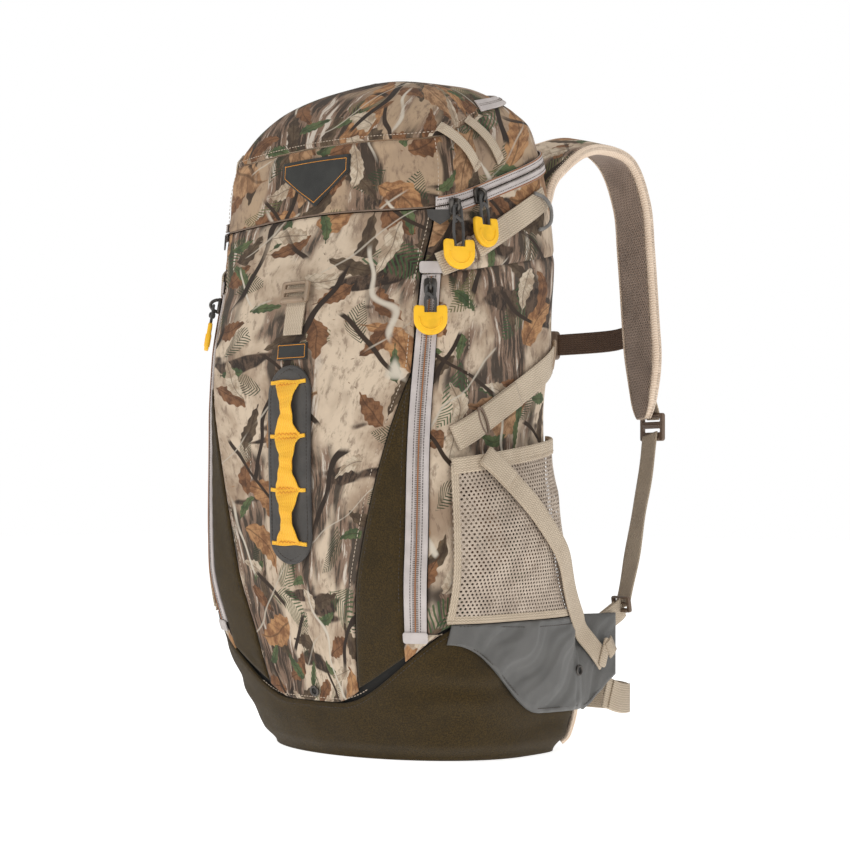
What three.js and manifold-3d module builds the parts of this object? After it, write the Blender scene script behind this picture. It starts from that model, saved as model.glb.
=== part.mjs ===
// Hunting daypack: a soft bag with a zipped lid, mesh side pockets, hip fins and shoulder straps.
// Millimetres, +Z up. The front (the face away from the wearer) looks along -Y, the wearer's side
// along +Y, and X = 0 is the plane of symmetry. The origin is the middle of the flat base.
import * as THREE from 'three';
import { mergeVertices } from 'three/addons/utils/BufferGeometryUtils.js';
import Module from 'manifold-3d';

// ---------------------------------------------------------------- driving dimensions
const BAG_HEIGHT = 420;          // front seam of the lid above the floor
const LID_RISE = 112;            // from that seam to the top of the dome, before the tilt
const HALF_WIDTH = 136;          // widest half of the bag
const FRONT_DEPTH = 80;          // mid plane to the front of the bag
const BACK_DEPTH = 108;          // mid plane to the back of the bag, above the lumbar bulge
const CLOTH = 2.2;               // cloth panels
const LINER_GAP = 2.4;           // air between panels and liner
const LINER = 2.2;               // liner wall
const SEAM = 0.5;                // gap between two pieces sewn edge to edge
const LAY = 0.7;                 // gap under a piece that lies on another
const TAPE = 1.3;                // zip tape
const WEB = 1.5;                 // webbing
const WEB_WIDTH = 20;            // strap webbing
const BELT_WIDTH = 25;           // hip-belt webbing
const ZIP_TURN = 8;              // width of a side zip, in degrees round the bag
const ZIP_BOTTOM = 100;
const ZIP_TOP = 369;
const WEDGE_TOP = 290;           // apex of the side wedges
const RIM_TAPE = 6.8;            // each half of the lid zip
const RIM_TURN = 50;             // where the lid zip starts, in degrees from the front
const BACK_TURN = 138;           // where the back panels start
const PAD = 9;                   // thickness of the back pad
const PAD_BOTTOM = 62;
const PAD_TOP = 372;
const CAPSULE_WIDTH = 45;
const CAPSULE_BOTTOM = 150;
const CAPSULE_TOP = 303;
const GEAR_PITCH = 41.3;         // spacing of the gear loops
const GEAR_PROUD = 9;            // how far a gear loop stands off
const BUCKLE_HEIGHT = 361;       // front ladder-lock
const POCKET_BOTTOM = 108.5;
const POCKET_RIM_FRONT = 230;
const POCKET_RIM_BACK = 250;
const POCKET_BULGE = 19;
const FIN_TOP = 107;
const FIN_TIP = 170;             // how far back a fin's wing reaches
const STRAP_WIDTH = 52;
const STRAP_PAD = 9;
const STERNUM_HEIGHT = 342;
const BELT_HEIGHT = 34;
const SPLIT = 0.7;               // half the gap where two buckle halves meet
const SPLIT_SIDE = 36;           // the sternum buckle closes this far to the left
const WING = 0.72;               // share of a fin that lies on the bag
const FIN_FRONT = -38;
const POCKET_FRONT = -42;
const ROOT_HEIGHT = 428;         // where the shoulder straps leave the back
const ROOT_REACH = 8.9;          // middle of a strap's root behind the yoke
const HAUL_HEIGHT = 440;
const CORD = 2.4;                // cord of the zip pulls
const ZIP_PROUD = 0.6;           // a side zip stands this much over the cloth
const RUN = 0.5;                 // gap under a zip slider
const BRIDGE = 5.3;              // the cord runs this high over the slider's foot

// ---------------------------------------------------------------- small maths
const wasm = await Module();
wasm.setup();
const V = (x, y, z) => new THREE.Vector3(x, y, z);
const mix = (a, b, t) => a + (b - a) * t;
const clamp = (x, lo, hi) => Math.min(hi, Math.max(lo, x));
const smooth = (t) => { const c = clamp(t, 0, 1); return c * c * (3 - 2 * c); };
const rad = (degrees) => degrees * Math.PI / 180;
const steps = (n) => Array.from({ length: n + 1 }, (_, i) => i / n);

// A smooth value through (key, value) rows, level where the rows turn round.
function through(rows, key, column, x) {
  const last = rows.length - 1;
  if (x <= rows[0][key]) return rows[0][column];
  if (x >= rows[last][key]) return rows[last][column];
  let i = 0;
  while (rows[i + 1][key] < x) i += 1;
  const slope = (k) => {
    if (k === 0 || k === last) return 0;
    const before = (rows[k][column] - rows[k - 1][column]) / (rows[k][key] - rows[k - 1][key]);
    const after = (rows[k + 1][column] - rows[k][column]) / (rows[k + 1][key] - rows[k][key]);
    return before * after > 0 ? 2 * before * after / (before + after) : 0;
  };
  const h = rows[i + 1][key] - rows[i][key];
  const t = (x - rows[i][key]) / h;
  const a = rows[i][column];
  const b = rows[i + 1][column];
  return a * (1 + 2 * t) * (1 - t) ** 2 + slope(i) * h * t * (1 - t) ** 2
    + b * t * t * (3 - 2 * t) + slope(i + 1) * h * t * t * (t - 1);
}

// ---------------------------------------------------------------- the skin of the pack
// Stations of the loft, from the floor to the top of the dome. `v` is the height at the front,
// `w` the half width, `f` and `b` the front and back, as shares of the driving sizes. `nf` and
// `m` says where the ring is widest, `nf` and `nb` square its corners, and `tilt` lifts its back.
const bag = (h, w, f, b, m, nf, nb, tilt) => ({ v: h * BAG_HEIGHT, w: w * HALF_WIDTH,
  f: f * FRONT_DEPTH, b: b * BACK_DEPTH, m: m * BACK_DEPTH, nf, nb, tilt });
const lid = (h, w, f, b, m, nf, nb, tilt) => (
  { ...bag(1, w, f, b, m, nf, nb, tilt), v: BAG_HEIGHT + h * LID_RISE });
const STATIONS = [
  bag(0, 0.88, 0.47, 1.11, 0.50, 2.0, 4.6, 0),
  bag(0.03, 0.935, 0.58, 1.21, 0.44, 2.1, 5.2, 0),
  bag(0.095, 0.965, 0.70, 1.29, 0.28, 2.2, 5.8, 0),
  bag(0.215, 0.985, 0.84, 1.24, 0.11, 2.8, 5.4, 0),
  bag(0.357, 1.0, 0.975, 1.05, 0.05, 3.3, 4.6, 0),
  bag(0.62, 0.97, 1.01, 0.935, 0.05, 3.3, 4.5, 0),
  bag(0.74, 0.975, 0.985, 1.02, 0.05, 3.1, 4.5, 0.02),
  bag(0.88, 0.95, 0.865, 1.125, 0.05, 2.9, 4.5, 0.18),
  bag(1.0, 0.905, 0.675, 1.01, 0.05, 4.2, 4.5, 0.38),
  lid(0.27, 0.88, 0.65, 0.90, 0.05, 4.6, 4.5, 0.37),
  lid(0.46, 0.835, 0.62, 0.77, 0.05, 4.6, 4.3, 0.33),
  lid(0.62, 0.77, 0.52, 0.67, 0.07, 4.2, 3.8, 0.26),
  lid(0.78, 0.65, 0.33, 0.55, 0.09, 3.4, 3.2, 0.18),
  lid(0.90, 0.46, 0.08, 0.40, 0.11, 2.8, 2.8, 0.11),
  lid(0.97, 0.23, -0.12, 0.28, 0.14, 2.3, 2.3, 0.07),
  lid(1.0, 0.004, -0.194, 0.150, 0.146, 2, 2, 0.05),
];
const DOME_TOP = BAG_HEIGHT + LID_RISE;
const SEAM_FRONT = -0.675 * FRONT_DEPTH;
const SIDE_DROOP = 25;           // the lid's seam drops from its middle to its corners

function ring(v) {
  const at = (column) => through(STATIONS, 'v', column, v);
  const front = -at('f');
  const back = at('b');
  return { w: at('w'), front, back, middle: at('m'), nf: at('nf'), nb: at('nb'), tilt: at('tilt') };
}

// The point of the skin at `turn` degrees round from the front, towards +X, on the ring `v`.
function onSkin(turn, v) {
  const r = ring(v);
  const s = Math.sin(rad(turn));
  const c = Math.cos(rad(turn));
  const n = c > 0 ? r.nf : r.nb;
  const reach = (Math.abs(s) ** n + Math.abs(c) ** n) ** (-1 / n);
  const depth = c > 0 ? r.middle - r.front : r.back - r.middle;
  const y = r.middle - depth * c * reach;
  const droop = SIDE_DROOP * (s * reach) ** 2;
  return V(r.w * s * reach, y, v + r.tilt * (y - SEAM_FRONT - droop));
}

function normalAt(turn, v) {
  const lo = clamp(v - 0.5, 0, DOME_TOP - 1.5);
  const along = onSkin(turn + 0.4, clamp(v, 0, DOME_TOP - 1)).sub(onSkin(turn - 0.4, clamp(v, 0, DOME_TOP - 1)));
  const up = onSkin(turn, lo + 1).sub(onSkin(turn, lo));
  return along.cross(up).normalize();
}

const skin = (turn, v, lift = 0) => onSkin(turn, v).addScaledVector(normalAt(turn, v), lift);

// The skin sunk by `depth`, with a flat floor at that height.
function inset(turn, v, depth) {
  const p = skin(turn, Math.max(v, depth), -depth);
  if (v <= depth) p.z = depth;
  return p;
}

// The ring that passes the height `z` at `turn`.
function ringAt(turn, z) {
  let lo = 0;
  let hi = DOME_TOP - 2;
  for (let i = 0; i < 22; i += 1) {
    const half = (lo + hi) / 2;
    if (onSkin(turn, half).z < z) lo = half; else hi = half;
  }
  return (lo + hi) / 2;
}

// A place on the skin by its own y and z, on the +X side: { turn, v }.
function sidePlace(y, z) {
  let lo = 1;
  let hi = 179;
  for (let i = 0; i < 22; i += 1) {
    const half = (lo + hi) / 2;
    if (onSkin(half, ringAt(half, z)).y < y) lo = half; else hi = half;
  }
  const turn = (lo + hi) / 2;
  return { turn, v: ringAt(turn, z) };
}

// ---------------------------------------------------------------- seams shared by the panels
const zipTurn = (v) => 37 + 0.03 * v;                         // front edge of a side zip
function wedgeTurn(v) {                                       // front edge of an olive wedge
  const q = clamp((WEDGE_TOP + 4 - v) / (WEDGE_TOP - 50), 0, 1);
  return zipTurn(v) - 0.5 - 17.5 * (1 - (1 - q) ** 2);
}
function bootTop(turn) {                                      // top seam of the base boot
  const a = Math.abs(((turn + 180) % 360 + 360) % 360 - 180);
  const rise = 43 + 62 * smooth((a - 12) / 52);
  return mix(rise, PAD_BOTTOM - 4, smooth((a - 105) / 30));
}

// ---------------------------------------------------------------- solids
// Triangles from a list of corners; `quads` are four corner numbers each. Faces point outwards.
function closed(points, quads) {
  const position = [];
  quads.forEach(([a, b, c, d]) => {
    [[a, b, c], [a, c, d]].forEach((corner) => {
      corner.forEach((k) => position.push(points[k].x, points[k].y, points[k].z));
    });
  });
  let geometry = new THREE.BufferGeometry();
  geometry.setAttribute('position', new THREE.Float32BufferAttribute(position, 3));
  geometry = mergeVertices(geometry, 1e-3);
  const index = Array.from(geometry.index.array);
  const place = geometry.attributes.position;
  const kept = [];
  let volume = 0;
  for (let i = 0; i < index.length; i += 3) {
    const [a, b, c] = index.slice(i, i + 3);
    if (a !== b && b !== c && c !== a) {
      kept.push(a, b, c);
      const p = V().fromBufferAttribute(place, a);
      volume += p.dot(V().fromBufferAttribute(place, b).cross(V().fromBufferAttribute(place, c)));
    }
  }
  if (volume < 0) {
    for (let i = 0; i < kept.length; i += 3) [kept[i], kept[i + 1]] = [kept[i + 1], kept[i]];
  }
  geometry.setIndex(kept);
  return geometry;
}

// A sheet with a thickness: `point(s, t, k)` gives its inner (k = 0) and outer (k = 1) face.
// A wrapped sheet goes right round, and has a rim only where t is 0 and 1.
function sheet(across, along, point, wrapped = false) {
  const nu = across.length;
  const nv = along.length;
  const points = [];
  [0, 1].forEach((k) => along.forEach((t) => across.forEach((s) => points.push(point(s, t, k)))));
  const at = (i, j, k) => k * nu * nv + j * nu + (i % nu);
  const quads = [];
  const columns = wrapped ? nu : nu - 1;
  for (let j = 0; j < nv - 1; j += 1) {
    for (let i = 0; i < columns; i += 1) {
      quads.push([at(i, j, 1), at(i + 1, j, 1), at(i + 1, j + 1, 1), at(i, j + 1, 1)]);
      quads.push([at(i, j + 1, 0), at(i + 1, j + 1, 0), at(i + 1, j, 0), at(i, j, 0)]);
    }
  }
  for (let i = 0; i < columns; i += 1) {
    quads.push([at(i, 0, 0), at(i + 1, 0, 0), at(i + 1, 0, 1), at(i, 0, 1)]);
    quads.push([at(i, nv - 1, 1), at(i + 1, nv - 1, 1), at(i + 1, nv - 1, 0), at(i, nv - 1, 0)]);
  }
  if (!wrapped) {
    for (let j = 0; j < nv - 1; j += 1) {
      quads.push([at(0, j, 1), at(0, j + 1, 1), at(0, j + 1, 0), at(0, j, 0)]);
      quads.push([at(nu - 1, j, 0), at(nu - 1, j + 1, 0), at(nu - 1, j + 1, 1), at(nu - 1, j, 1)]);
    }
  }
  return closed(points, quads);
}

const wrap = (n) => Array.from({ length: n }, (_, i) => i / n);

// A patch of the skin between two turns and two rings, `low` to `high` above it.
function patch(turns, rings, low, high, columns, rows) {
  return sheet(steps(columns), steps(rows), (s, t, k) => {
    const v = mix(rings[0], rings[1], t);
    return skin(mix(turns(v)[0], turns(v)[1], s), v, k ? high : low);
  });
}

// A flat band: `path` is a list of { p, n, width, thick } with its centre line and face normal.
function band(path) {
  const points = [];
  path.forEach((here, i) => {
    const before = path[Math.max(i - 1, 0)].p;
    const after = path[Math.min(i + 1, path.length - 1)].p;
    const side = V().subVectors(after, before).cross(here.n).normalize();
    const out = V().crossVectors(side, V().subVectors(after, before)).normalize();
    [[-1, -1], [1, -1], [1, 1], [-1, 1]].forEach(([a, b]) => {
      points.push(here.p.clone().addScaledVector(side, a * here.width / 2)
        .addScaledVector(out, b * here.thick / 2));
    });
  });
  const end = 4 * (path.length - 1);
  const quads = [[0, 1, 2, 3], [end + 3, end + 2, end + 1, end]];
  for (let i = 0; i < path.length - 1; i += 1) {
    for (let a = 0; a < 4; a += 1) {
      const b = (a + 1) % 4;
      quads.push([4 * i + b, 4 * i + a, 4 * i + 4 + a, 4 * i + 4 + b]);
    }
  }
  return closed(points, quads);
}

// A band on the skin through places { turn, v }, its underside `lift(t)` above the skin.
function skinBand(place, lift, width, count, thick = WEB) {
  return band(steps(count).map((t) => {
    const { turn, v } = place(t);
    return { p: skin(turn, v, lift(t) + thick / 2), n: normalAt(turn, v), width: width(t), thick };
  }));
}

// A straight run in side view, from (y, z) to (y, z), as places on the skin.
const sideRun = (from, to) => (t) => sidePlace(mix(from[0], to[0], t), mix(from[1], to[1], t));

// A band in space through [x, y, z, width direction] stations.
function spaceBand(stations, width, thick, count) {
  const centre = new THREE.CatmullRomCurve3(stations.map(([x, y, z]) => V(x, y, z)));
  const across = new THREE.CatmullRomCurve3(stations.map((row) => V(...row[3])));
  return band(steps(count).map((t) => {
    const n = V().crossVectors(across.getPoint(t), centre.getTangent(t)).normalize();
    return { p: centre.getPoint(t), n, width: width(t), thick };
  }));
}

function solid(geometry) {
  const bare = geometry.clone();
  bare.deleteAttribute('normal');
  bare.deleteAttribute('uv');
  const merged = mergeVertices(bare, 1e-3);
  return new wasm.Manifold(new wasm.Mesh({
    numProp: 3,
    vertProperties: new Float32Array(merged.attributes.position.array),
    triVerts: new Uint32Array(merged.index.array),
  }));
}

function geometryOf(manifold) {
  const mesh = manifold.getMesh();
  const geometry = new THREE.BufferGeometry();
  geometry.setAttribute('position', new THREE.BufferAttribute(new Float32Array(mesh.vertProperties), 3));
  geometry.setIndex(new THREE.BufferAttribute(new Uint32Array(mesh.triVerts), 1));
  return geometry;
}

const join = (...parts) => geometryOf(parts.map(solid).reduce((a, b) => a.add(b)));
const cut = (body, ...tools) => geometryOf(tools.map(solid).reduce((a, b) => a.subtract(b), solid(body)));
const block = (w, d, h, x = 0, y = 0, z = 0) => new THREE.BoxGeometry(w, d, h).translate(x, y, z);

// The frame of a fitting on the skin: x level along the cloth, y outwards, z up the cloth.
function seat(turn, v, lift) {
  const out = normalAt(turn, v);
  const level = V(-out.y, out.x, 0).normalize();
  const up = V().crossVectors(level.clone().negate(), out);
  return new THREE.Matrix4().makeBasis(level.negate(), out, up).setPosition(skin(turn, v, lift));
}

// ---------------------------------------------------------------- materials
const finish = (color, roughness, metalness = 0) => ({ color, roughness, metalness });
const CAMO = finish(0x8f7a62, 0.9);
const OLIVE = finish(0x4a3f28, 0.95);
const GREY = finish(0x64665f, 0.8);
const ZIP = finish(0x9a9290, 0.8);
const TAN = finish(0xa89880, 0.85);
const ORANGE = finish(0xf9ae25, 0.55);
const BLACK = finish(0x363638, 0.6);
const MESH = finish(0xb9a894, 0.9);
const DARK = finish(0x2b2926, 0.9);
const SHEET = finish(0x3a3c3e, 0.4);

const pack = new THREE.Group();
function add(name, geometry, look) {
  const mesh = new THREE.Mesh(geometry, new THREE.MeshStandardMaterial(look));
  mesh.name = name;
  pack.add(mesh);
  return mesh;
}
// The same piece on both sides, the left one mirrored in X = 0.
function addPair(name, geometry, look) {
  add(`${name}_right`, geometry, look);
  add(`${name}_left`, geometry, look).scale.x = -1;
}

// ---------------------------------------------------------------- bag
function linerBag() {
  const outer = CLOTH + LINER_GAP;
  const rows = [-1, 0, 0.035, 0.1, 0.2, 0.36, 0.5, 0.6, 0.7, 0.8, 0.9, 1];
  return sheet(wrap(40), rows, (s, t, k) => {
    const v = Math.max(t, 0) * (BAG_HEIGHT - SEAM);
    const depth = (k ? outer : outer + LINER) + 3.2 * (1 - smooth(v / 70));
    const p = inset(360 * s, v, depth);
    return t < 0 ? V(0, 40, depth) : p;
  }, true);
}

function baseBoot() {
  const rows = [-1, 0, 0.05, 0.14, 0.3, 0.55, 0.8, 1];
  return sheet(wrap(40), rows, (s, t, k) => {
    const turn = 360 * s;
    const depth = k ? 0 : CLOTH;
    const p = inset(turn, Math.max(t, 0) * bootTop(turn), depth);
    return t < 0 ? V(0, 40, depth) : p;
  }, true);
}

function frontPanel() {
  return sheet(steps(12), steps(12), (s, t, k) => {
    const side = 2 * s - 1;
    const bottom = bootTop(side * 25) + SEAM + 0.2;
    const v = mix(bottom, BAG_HEIGHT - SEAM, t);
    const edge = v < WEDGE_TOP + 3 ? wedgeTurn(v) : zipTurn(v) - 0.5;
    return skin(side * edge, v, k ? 0 : -CLOTH);
  });
}

function sideWedge() {
  return sheet(steps(4), steps(14), (s, t, k) => {
    const v = mix(bootTop(mix(27, 42, s)) + SEAM, WEDGE_TOP, t);
    const turn = mix(wedgeTurn(v) + 0.4, zipTurn(v) - 0.1, s);
    return skin(turn, v, k ? 0 : -CLOTH);
  });
}

function sideZip() {
  const turns = (v) => [zipTurn(v) + 0.25, zipTurn(v) + ZIP_TURN];
  return patch(turns, [ZIP_BOTTOM, ZIP_TOP], -CLOTH, ZIP_PROUD, 2, 16);
}

function sidePanel() {
  const foot = ZIP_BOTTOM - SEAM;
  const rows = [0, foot, foot + 0.3, ...steps(6).map((t) => mix(foot + 24, ZIP_TOP - 24, t)),
    ZIP_TOP + SEAM, ZIP_TOP + SEAM + 0.3, mix(ZIP_TOP, BAG_HEIGHT, 0.5), BAG_HEIGHT - SEAM];
  return sheet(steps(12), rows, (s, row, k) => {
    const zipped = row > foot && row < ZIP_TOP + SEAM + 0.1;
    const edge = zipTurn(Math.max(row, 80)) + (zipped ? ZIP_TURN : 0) + 0.35;
    const turn = mix(edge, BACK_TURN, s);
    return skin(turn, Math.max(row, bootTop(turn) + 5 * SEAM + row * 0.01), k ? 0 : -CLOTH);
  });
}

// The padded back, crowned, from the boot to the yoke.
function backPad() {
  const turns = [BACK_TURN + 0.4, 360 - BACK_TURN - 0.4];
  return sheet(steps(14), steps(10), (s, t, k) => {
    const v = mix(PAD_BOTTOM, PAD_TOP, t);
    const crown = Math.min(1, 5 * Math.min(s, 1 - s)) * Math.min(1, 8 * Math.min(t, 1 - t));
    return skin(mix(...turns, s), v, k ? PAD * smooth(crown) : -CLOTH);
  });
}

function yokePanel() {
  const turns = () => [BACK_TURN + 0.4, 360 - BACK_TURN - 0.4];
  return patch(turns, [PAD_TOP + SEAM, BAG_HEIGHT - SEAM], -CLOTH, 0, 14, 2);
}

const INSIDE = CLOTH + LINER_GAP + LINER;                      // depth of the liner's inner face
function frameSheet() {
  const turns = () => [151, 209];
  return patch(turns, [66, 385], -(INSIDE + 2.8 + 1.8), -(INSIDE + 2.8), 6, 8);
}

// A flat open-topped sleeve for a water bladder, in front of the frame sheet.
function waterSleeve() {
  const bottom = 60;
  const height = 250;
  const back = 0.935 * BACK_DEPTH - INSIDE - 5.4;
  const depth = 14;
  const body = block(120, depth, height, 0, back - depth / 2, bottom + height / 2);
  const room = block(117, depth - 3, height, 0, back - depth / 2, bottom + height / 2 + 1.5);
  return cut(body, room);
}

function rimTape(v0, v1) {
  return patch(() => [RIM_TURN, 360 - RIM_TURN], [v0, v1], LAY + 0.3, LAY + 0.3 + TAPE, 40, 1);
}

// ---------------------------------------------------------------- lid
function lidShell() {
  const rows = [0, 0.12, 0.3, 0.46, 0.56, 0.66, 0.76, 0.85, 0.93, 1];
  return sheet(wrap(36), rows, (s, t, k) => {
    const v = mix(BAG_HEIGHT + SEAM, DOME_TOP, t);
    if (t === 1) {
      const p = onSkin(0, DOME_TOP);
      return V(0, onSkin(0, DOME_TOP).y * 0.5 + onSkin(180, DOME_TOP).y * 0.5, p.z - (k ? 0 : CLOTH));
    }
    return skin(360 * s, v, k ? 0 : -CLOTH);
  }, true);
}

// The floor of the top pocket, a cloth disc across the inside of the lid.
function lidFloor() {
  const v = BAG_HEIGHT + 30;
  const middle = V(0, 18, 0);
  middle.z = v + ring(v).tilt * (middle.y - SEAM_FRONT);
  return sheet(wrap(28), [0, 0.5, 1], (s, t, k) => {
    const p = middle.clone().lerp(skin(360 * s, v, -CLOTH - 1.3), t);
    p.z += k ? 0.7 : -0.7;
    return p;
  }, true);
}

function pocketTape() {
  return patch(() => [98, 262], [BAG_HEIGHT + 63, BAG_HEIGHT + 74], LAY + 0.3, LAY + 0.3 + TAPE, 28, 2);
}

// A webbing loop on the lid's side, proud at its middle.
function lidLoop(front) {
  const rise = 0.33 * (front + 30);
  const run = sideRun([front, 479 + rise], [front + 27, 449 + rise]);
  return skinBand(run, (t) => 0.6 + 2.8 * Math.sin(Math.PI * t), () => 9, 8, 1.3);
}

// The five-sided patch on the lid's front, bare.
function lidPatch() {
  const heights = [0, 0.06, 0.33, 0.66, 0.99];
  const half = (t) => (t < 0.34 ? 36 : mix(36, 0.8, (t - 0.33) / 0.66));
  return sheet(steps(8), heights, (s, t, k) => {
    const x = (2 * s - 1) * half(t);
    const v = 464 - 37 * t;
    const turn = Math.atan(x / ring(v).w) * 180 / Math.PI;
    return skin(turn, v, LAY + (k ? 1.4 : 0));
  });
}

// ---------------------------------------------------------------- front furniture
const frontTurn = (x, v) => Math.atan(x / ring(v).w) * 180 / Math.PI;

function capsulePanel() {
  const radius = CAPSULE_WIDTH / 2;
  const ends = [0, 0.05, 0.18, 0.45, 1];
  const low = ends.map((q) => CAPSULE_BOTTOM + radius * q);
  const high = ends.map((q) => CAPSULE_TOP - radius * q).reverse();
  const body = steps(6).slice(1, -1).map((t) => mix(low[4], high[0], t));
  const rows = [...low, ...body, ...high];
  return sheet(steps(4), rows, (s, v, k) => {
    const past = Math.max(0, CAPSULE_BOTTOM + radius - v, v - CAPSULE_TOP + radius) / radius;
    const half = Math.max(radius * Math.sqrt(Math.max(0, 1 - past * past)), 2);
    return skin(frontTurn((2 * s - 1) * half, v), v, LAY + (k ? 2 : 0));
  });
}

// One strip of webbing bar-tacked to the capsule, standing off it in three loops.
function gearWebbing() {
  const count = 36;
  const bottom = CAPSULE_BOTTOM + 16;
  const loop = (t) => (t * 3) % 1;
  const arch = (t) => Math.sin(Math.PI * clamp((loop(t) - 0.08) / 0.84, 0, 1));
  return skinBand((t) => ({ turn: 0, v: bottom + 3 * GEAR_PITCH * t }),
    (t) => LAY + 2.6 + GEAR_PROUD * arch(t) ** 0.7, (t) => 26 - 13 * arch(t), count, 1.4);
}

function toolWeb() {
  return skinBand((t) => ({ turn: 0, v: mix(BUCKLE_HEIGHT - 34, BUCKLE_HEIGHT + 9, t) }),
    () => LAY, () => WEB_WIDTH, 6);
}

// A ladder-lock: a frame with two slots and a thumb lip, x across, y out, z up.
function ladderLock(width, height, thick) {
  const slot = (z) => block(width - 7, 3 * thick, 3.2, 0, 0, z);
  const lip = block(width - 4, thick, 4, 0, thick * 0.7, -height / 2 + 2);
  return cut(join(block(width, thick, height), lip), slot(-height * 0.12), slot(height * 0.26));
}

function toolBuckle() {
  return ladderLock(29, 17, 3).applyMatrix4(seat(0.001, BUCKLE_HEIGHT, LAY + WEB + 0.6 + 1.5));
}

// ---------------------------------------------------------------- sides
const upperStrap = () => skinBand(sideRun([-41, 374], [78, 436]), () => 0.9, () => WEB_WIDTH - 2, 16);
const lowerStrap = () => skinBand(sideRun([-38, 245], [88, 311]), () => 1.2, () => WEB_WIDTH, 16);

// How far back the flat of the side reaches at height z.
const backEdge = (z) => ring(z).back - 15;
const sideX = (y, z) => onSkin(sidePlace(y, z).turn, z).x;
const rimHeight = (s) => mix(POCKET_RIM_FRONT, POCKET_RIM_BACK, s);

// The mesh pocket: `s` runs from front to back, `t` from its foot to its rim.
function pocketPoint(s, t, lift) {
  const z = mix(POCKET_BOTTOM, rimHeight(s), t);
  const y = mix(POCKET_FRONT, backEdge(z), s);
  const full = mix(0.08, 1, smooth(t * 2.2)) * mix(1, 0.62, smooth((t - 0.55) / 0.45));
  const bulge = POCKET_BULGE * Math.sin(Math.PI * clamp(s, 0, 1)) ** 0.75 * full;
  return V(sideX(y, z) + bulge + 1.0 + lift, y, z);
}
function meshPocket() {
  const rows = [0, 0.12, 0.28, 0.5, 0.75, 0.9, 0.915, 1];
  return sheet(steps(10), rows, (s, t, k) => pocketPoint(s, t, k ? (t > 0.91 ? 2.6 : 1.6) : 0));
}

// A fin lies along the side and goes on behind it as a wing; q runs from its front to its tip.
function finPoint(q, t, lift) {
  const corner = backEdge(70) + 4;
  const y = q < WING ? mix(FIN_FRONT, corner, q / WING) : mix(corner, FIN_TIP, (q - WING) / (1 - WING));
  const foot = q < WING ? mix(92, mix(38, 30, q), smooth(q / 0.42)) : mix(31, 57, (q - WING) / (1 - WING));
  const z = mix(foot, FIN_TOP, t);
  const wing = mix(sideX(corner - 6, z), 121.5, smooth((y - corner + 6) / (FIN_TIP - corner)));
  return V((y < corner - 6 ? sideX(y, z) : wing) + 1.2 + lift, y, z);
}
const hipFin = () => sheet(steps(16), steps(3), (q, t, k) => finPoint(q, t, k ? 3.0 : 0));

// How far out the pocket or the fin reaches at (y, z).
function coverX(y, z) {
  const s = clamp((y - POCKET_FRONT) / (backEdge(z) - POCKET_FRONT), 0, 1);
  const t = (z - POCKET_BOTTOM) / (rimHeight(s) - POCKET_BOTTOM);
  const pocket = t > 0 && t < 1.02 && y < backEdge(z) + 3 ? pocketPoint(s, Math.min(t, 1), 2.7).x : 0;
  let fin = 0;
  if (z < FIN_TOP + 4) {
    let q = 0;
    while (q < 1 && finPoint(q, 1, 0).y < y) q += 0.01;
    fin = finPoint(q, clamp(0.5 + (z - 70) / 75, 0, 1), 3.1).x;
  }
  return Math.max(pocket, fin, sideX(Math.min(y, backEdge(z)), z) + 1);
}

// The diagonal strap from the lower strap's foot over the pocket to the fin.
function stabiliser() {
  const [from, to] = [[-22, 233], [150, 68]];
  const place = (q) => [mix(from[0], to[0], q), mix(from[1], to[1], q)];
  const reach = (q) => coverX(...place(clamp(q, 0, 1)));
  return band(steps(18).map((q) => {
    const x = Math.max(reach(q - 0.05), reach(q), reach(q + 0.05));
    return { p: V(x + 1.5 + WEB / 2, ...place(q)), n: V(1, 0, 0), width: WEB_WIDTH - 3, thick: WEB };
  }));
}

// ---------------------------------------------------------------- harness
const yokeFace = (x, z) => {                                  // depth of the back's cloth at (x, z)
  const turn = 180 - Math.atan(x / ring(PAD_TOP).w) * 180 / Math.PI;
  return onSkin(turn, ringAt(turn, z)).y;
};
const YOKE = yokeFace(50, ROOT_HEIGHT);
const STRAP = [
  [54, YOKE + ROOT_REACH, ROOT_HEIGHT, [0.68, 0.0, -0.73]],
  [58, YOKE + 16, 453, [0.76, -0.04, -0.65]],
  [63, 145, 474, [0.82, -0.14, -0.55]],
  [67, 172, 491, [0.88, -0.30, -0.33]],
  [72, 203, 498, [0.90, -0.35, -0.25]],
  [80, 232, 487, [0.92, -0.37, -0.10]],
  [86, 247, 452, [0.92, -0.39, -0.03]],
  [88, 251, 410, [0.92, -0.39, 0]],
  [90, 255, 350, [0.92, -0.39, 0]],
  [92, 257, 305, [0.92, -0.39, 0]],
  [94, 254, 268, [0.92, -0.39, 0]],
];
const WEB_FOOT = V(119.5, 186, 110);
const WEB_HEAD = V(97.3, 258.6, 255);
function shoulderStrap() {
  const width = (t) => mix(28, STRAP_WIDTH, smooth((1 - t) / 0.16)) + 4 * (1 - smooth(t / 0.15));
  return spaceBand(STRAP, width, STRAP_PAD, 28);
}
const lockPlace = V(98, 261.4, 261);
function strapLock() {
  return ladderLock(30, 24, 3.4).applyMatrix4(new THREE.Matrix4().makeBasis(
    V(0.963, -0.27, 0), V(0.27, 0.963, 0), V(0, 0, 1)).setPosition(lockPlace));
}
function lowerWeb() {
  const across = [0.94, -0.34, 0];
  const mid = V().lerpVectors(WEB_HEAD, WEB_FOOT, 0.5);
  return spaceBand([[...WEB_HEAD.toArray(), across], [mid.x - 1, mid.y + 5, mid.z, across],
    [...WEB_FOOT.toArray(), across]], () => WEB_WIDTH, WEB, 8);
}

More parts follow.
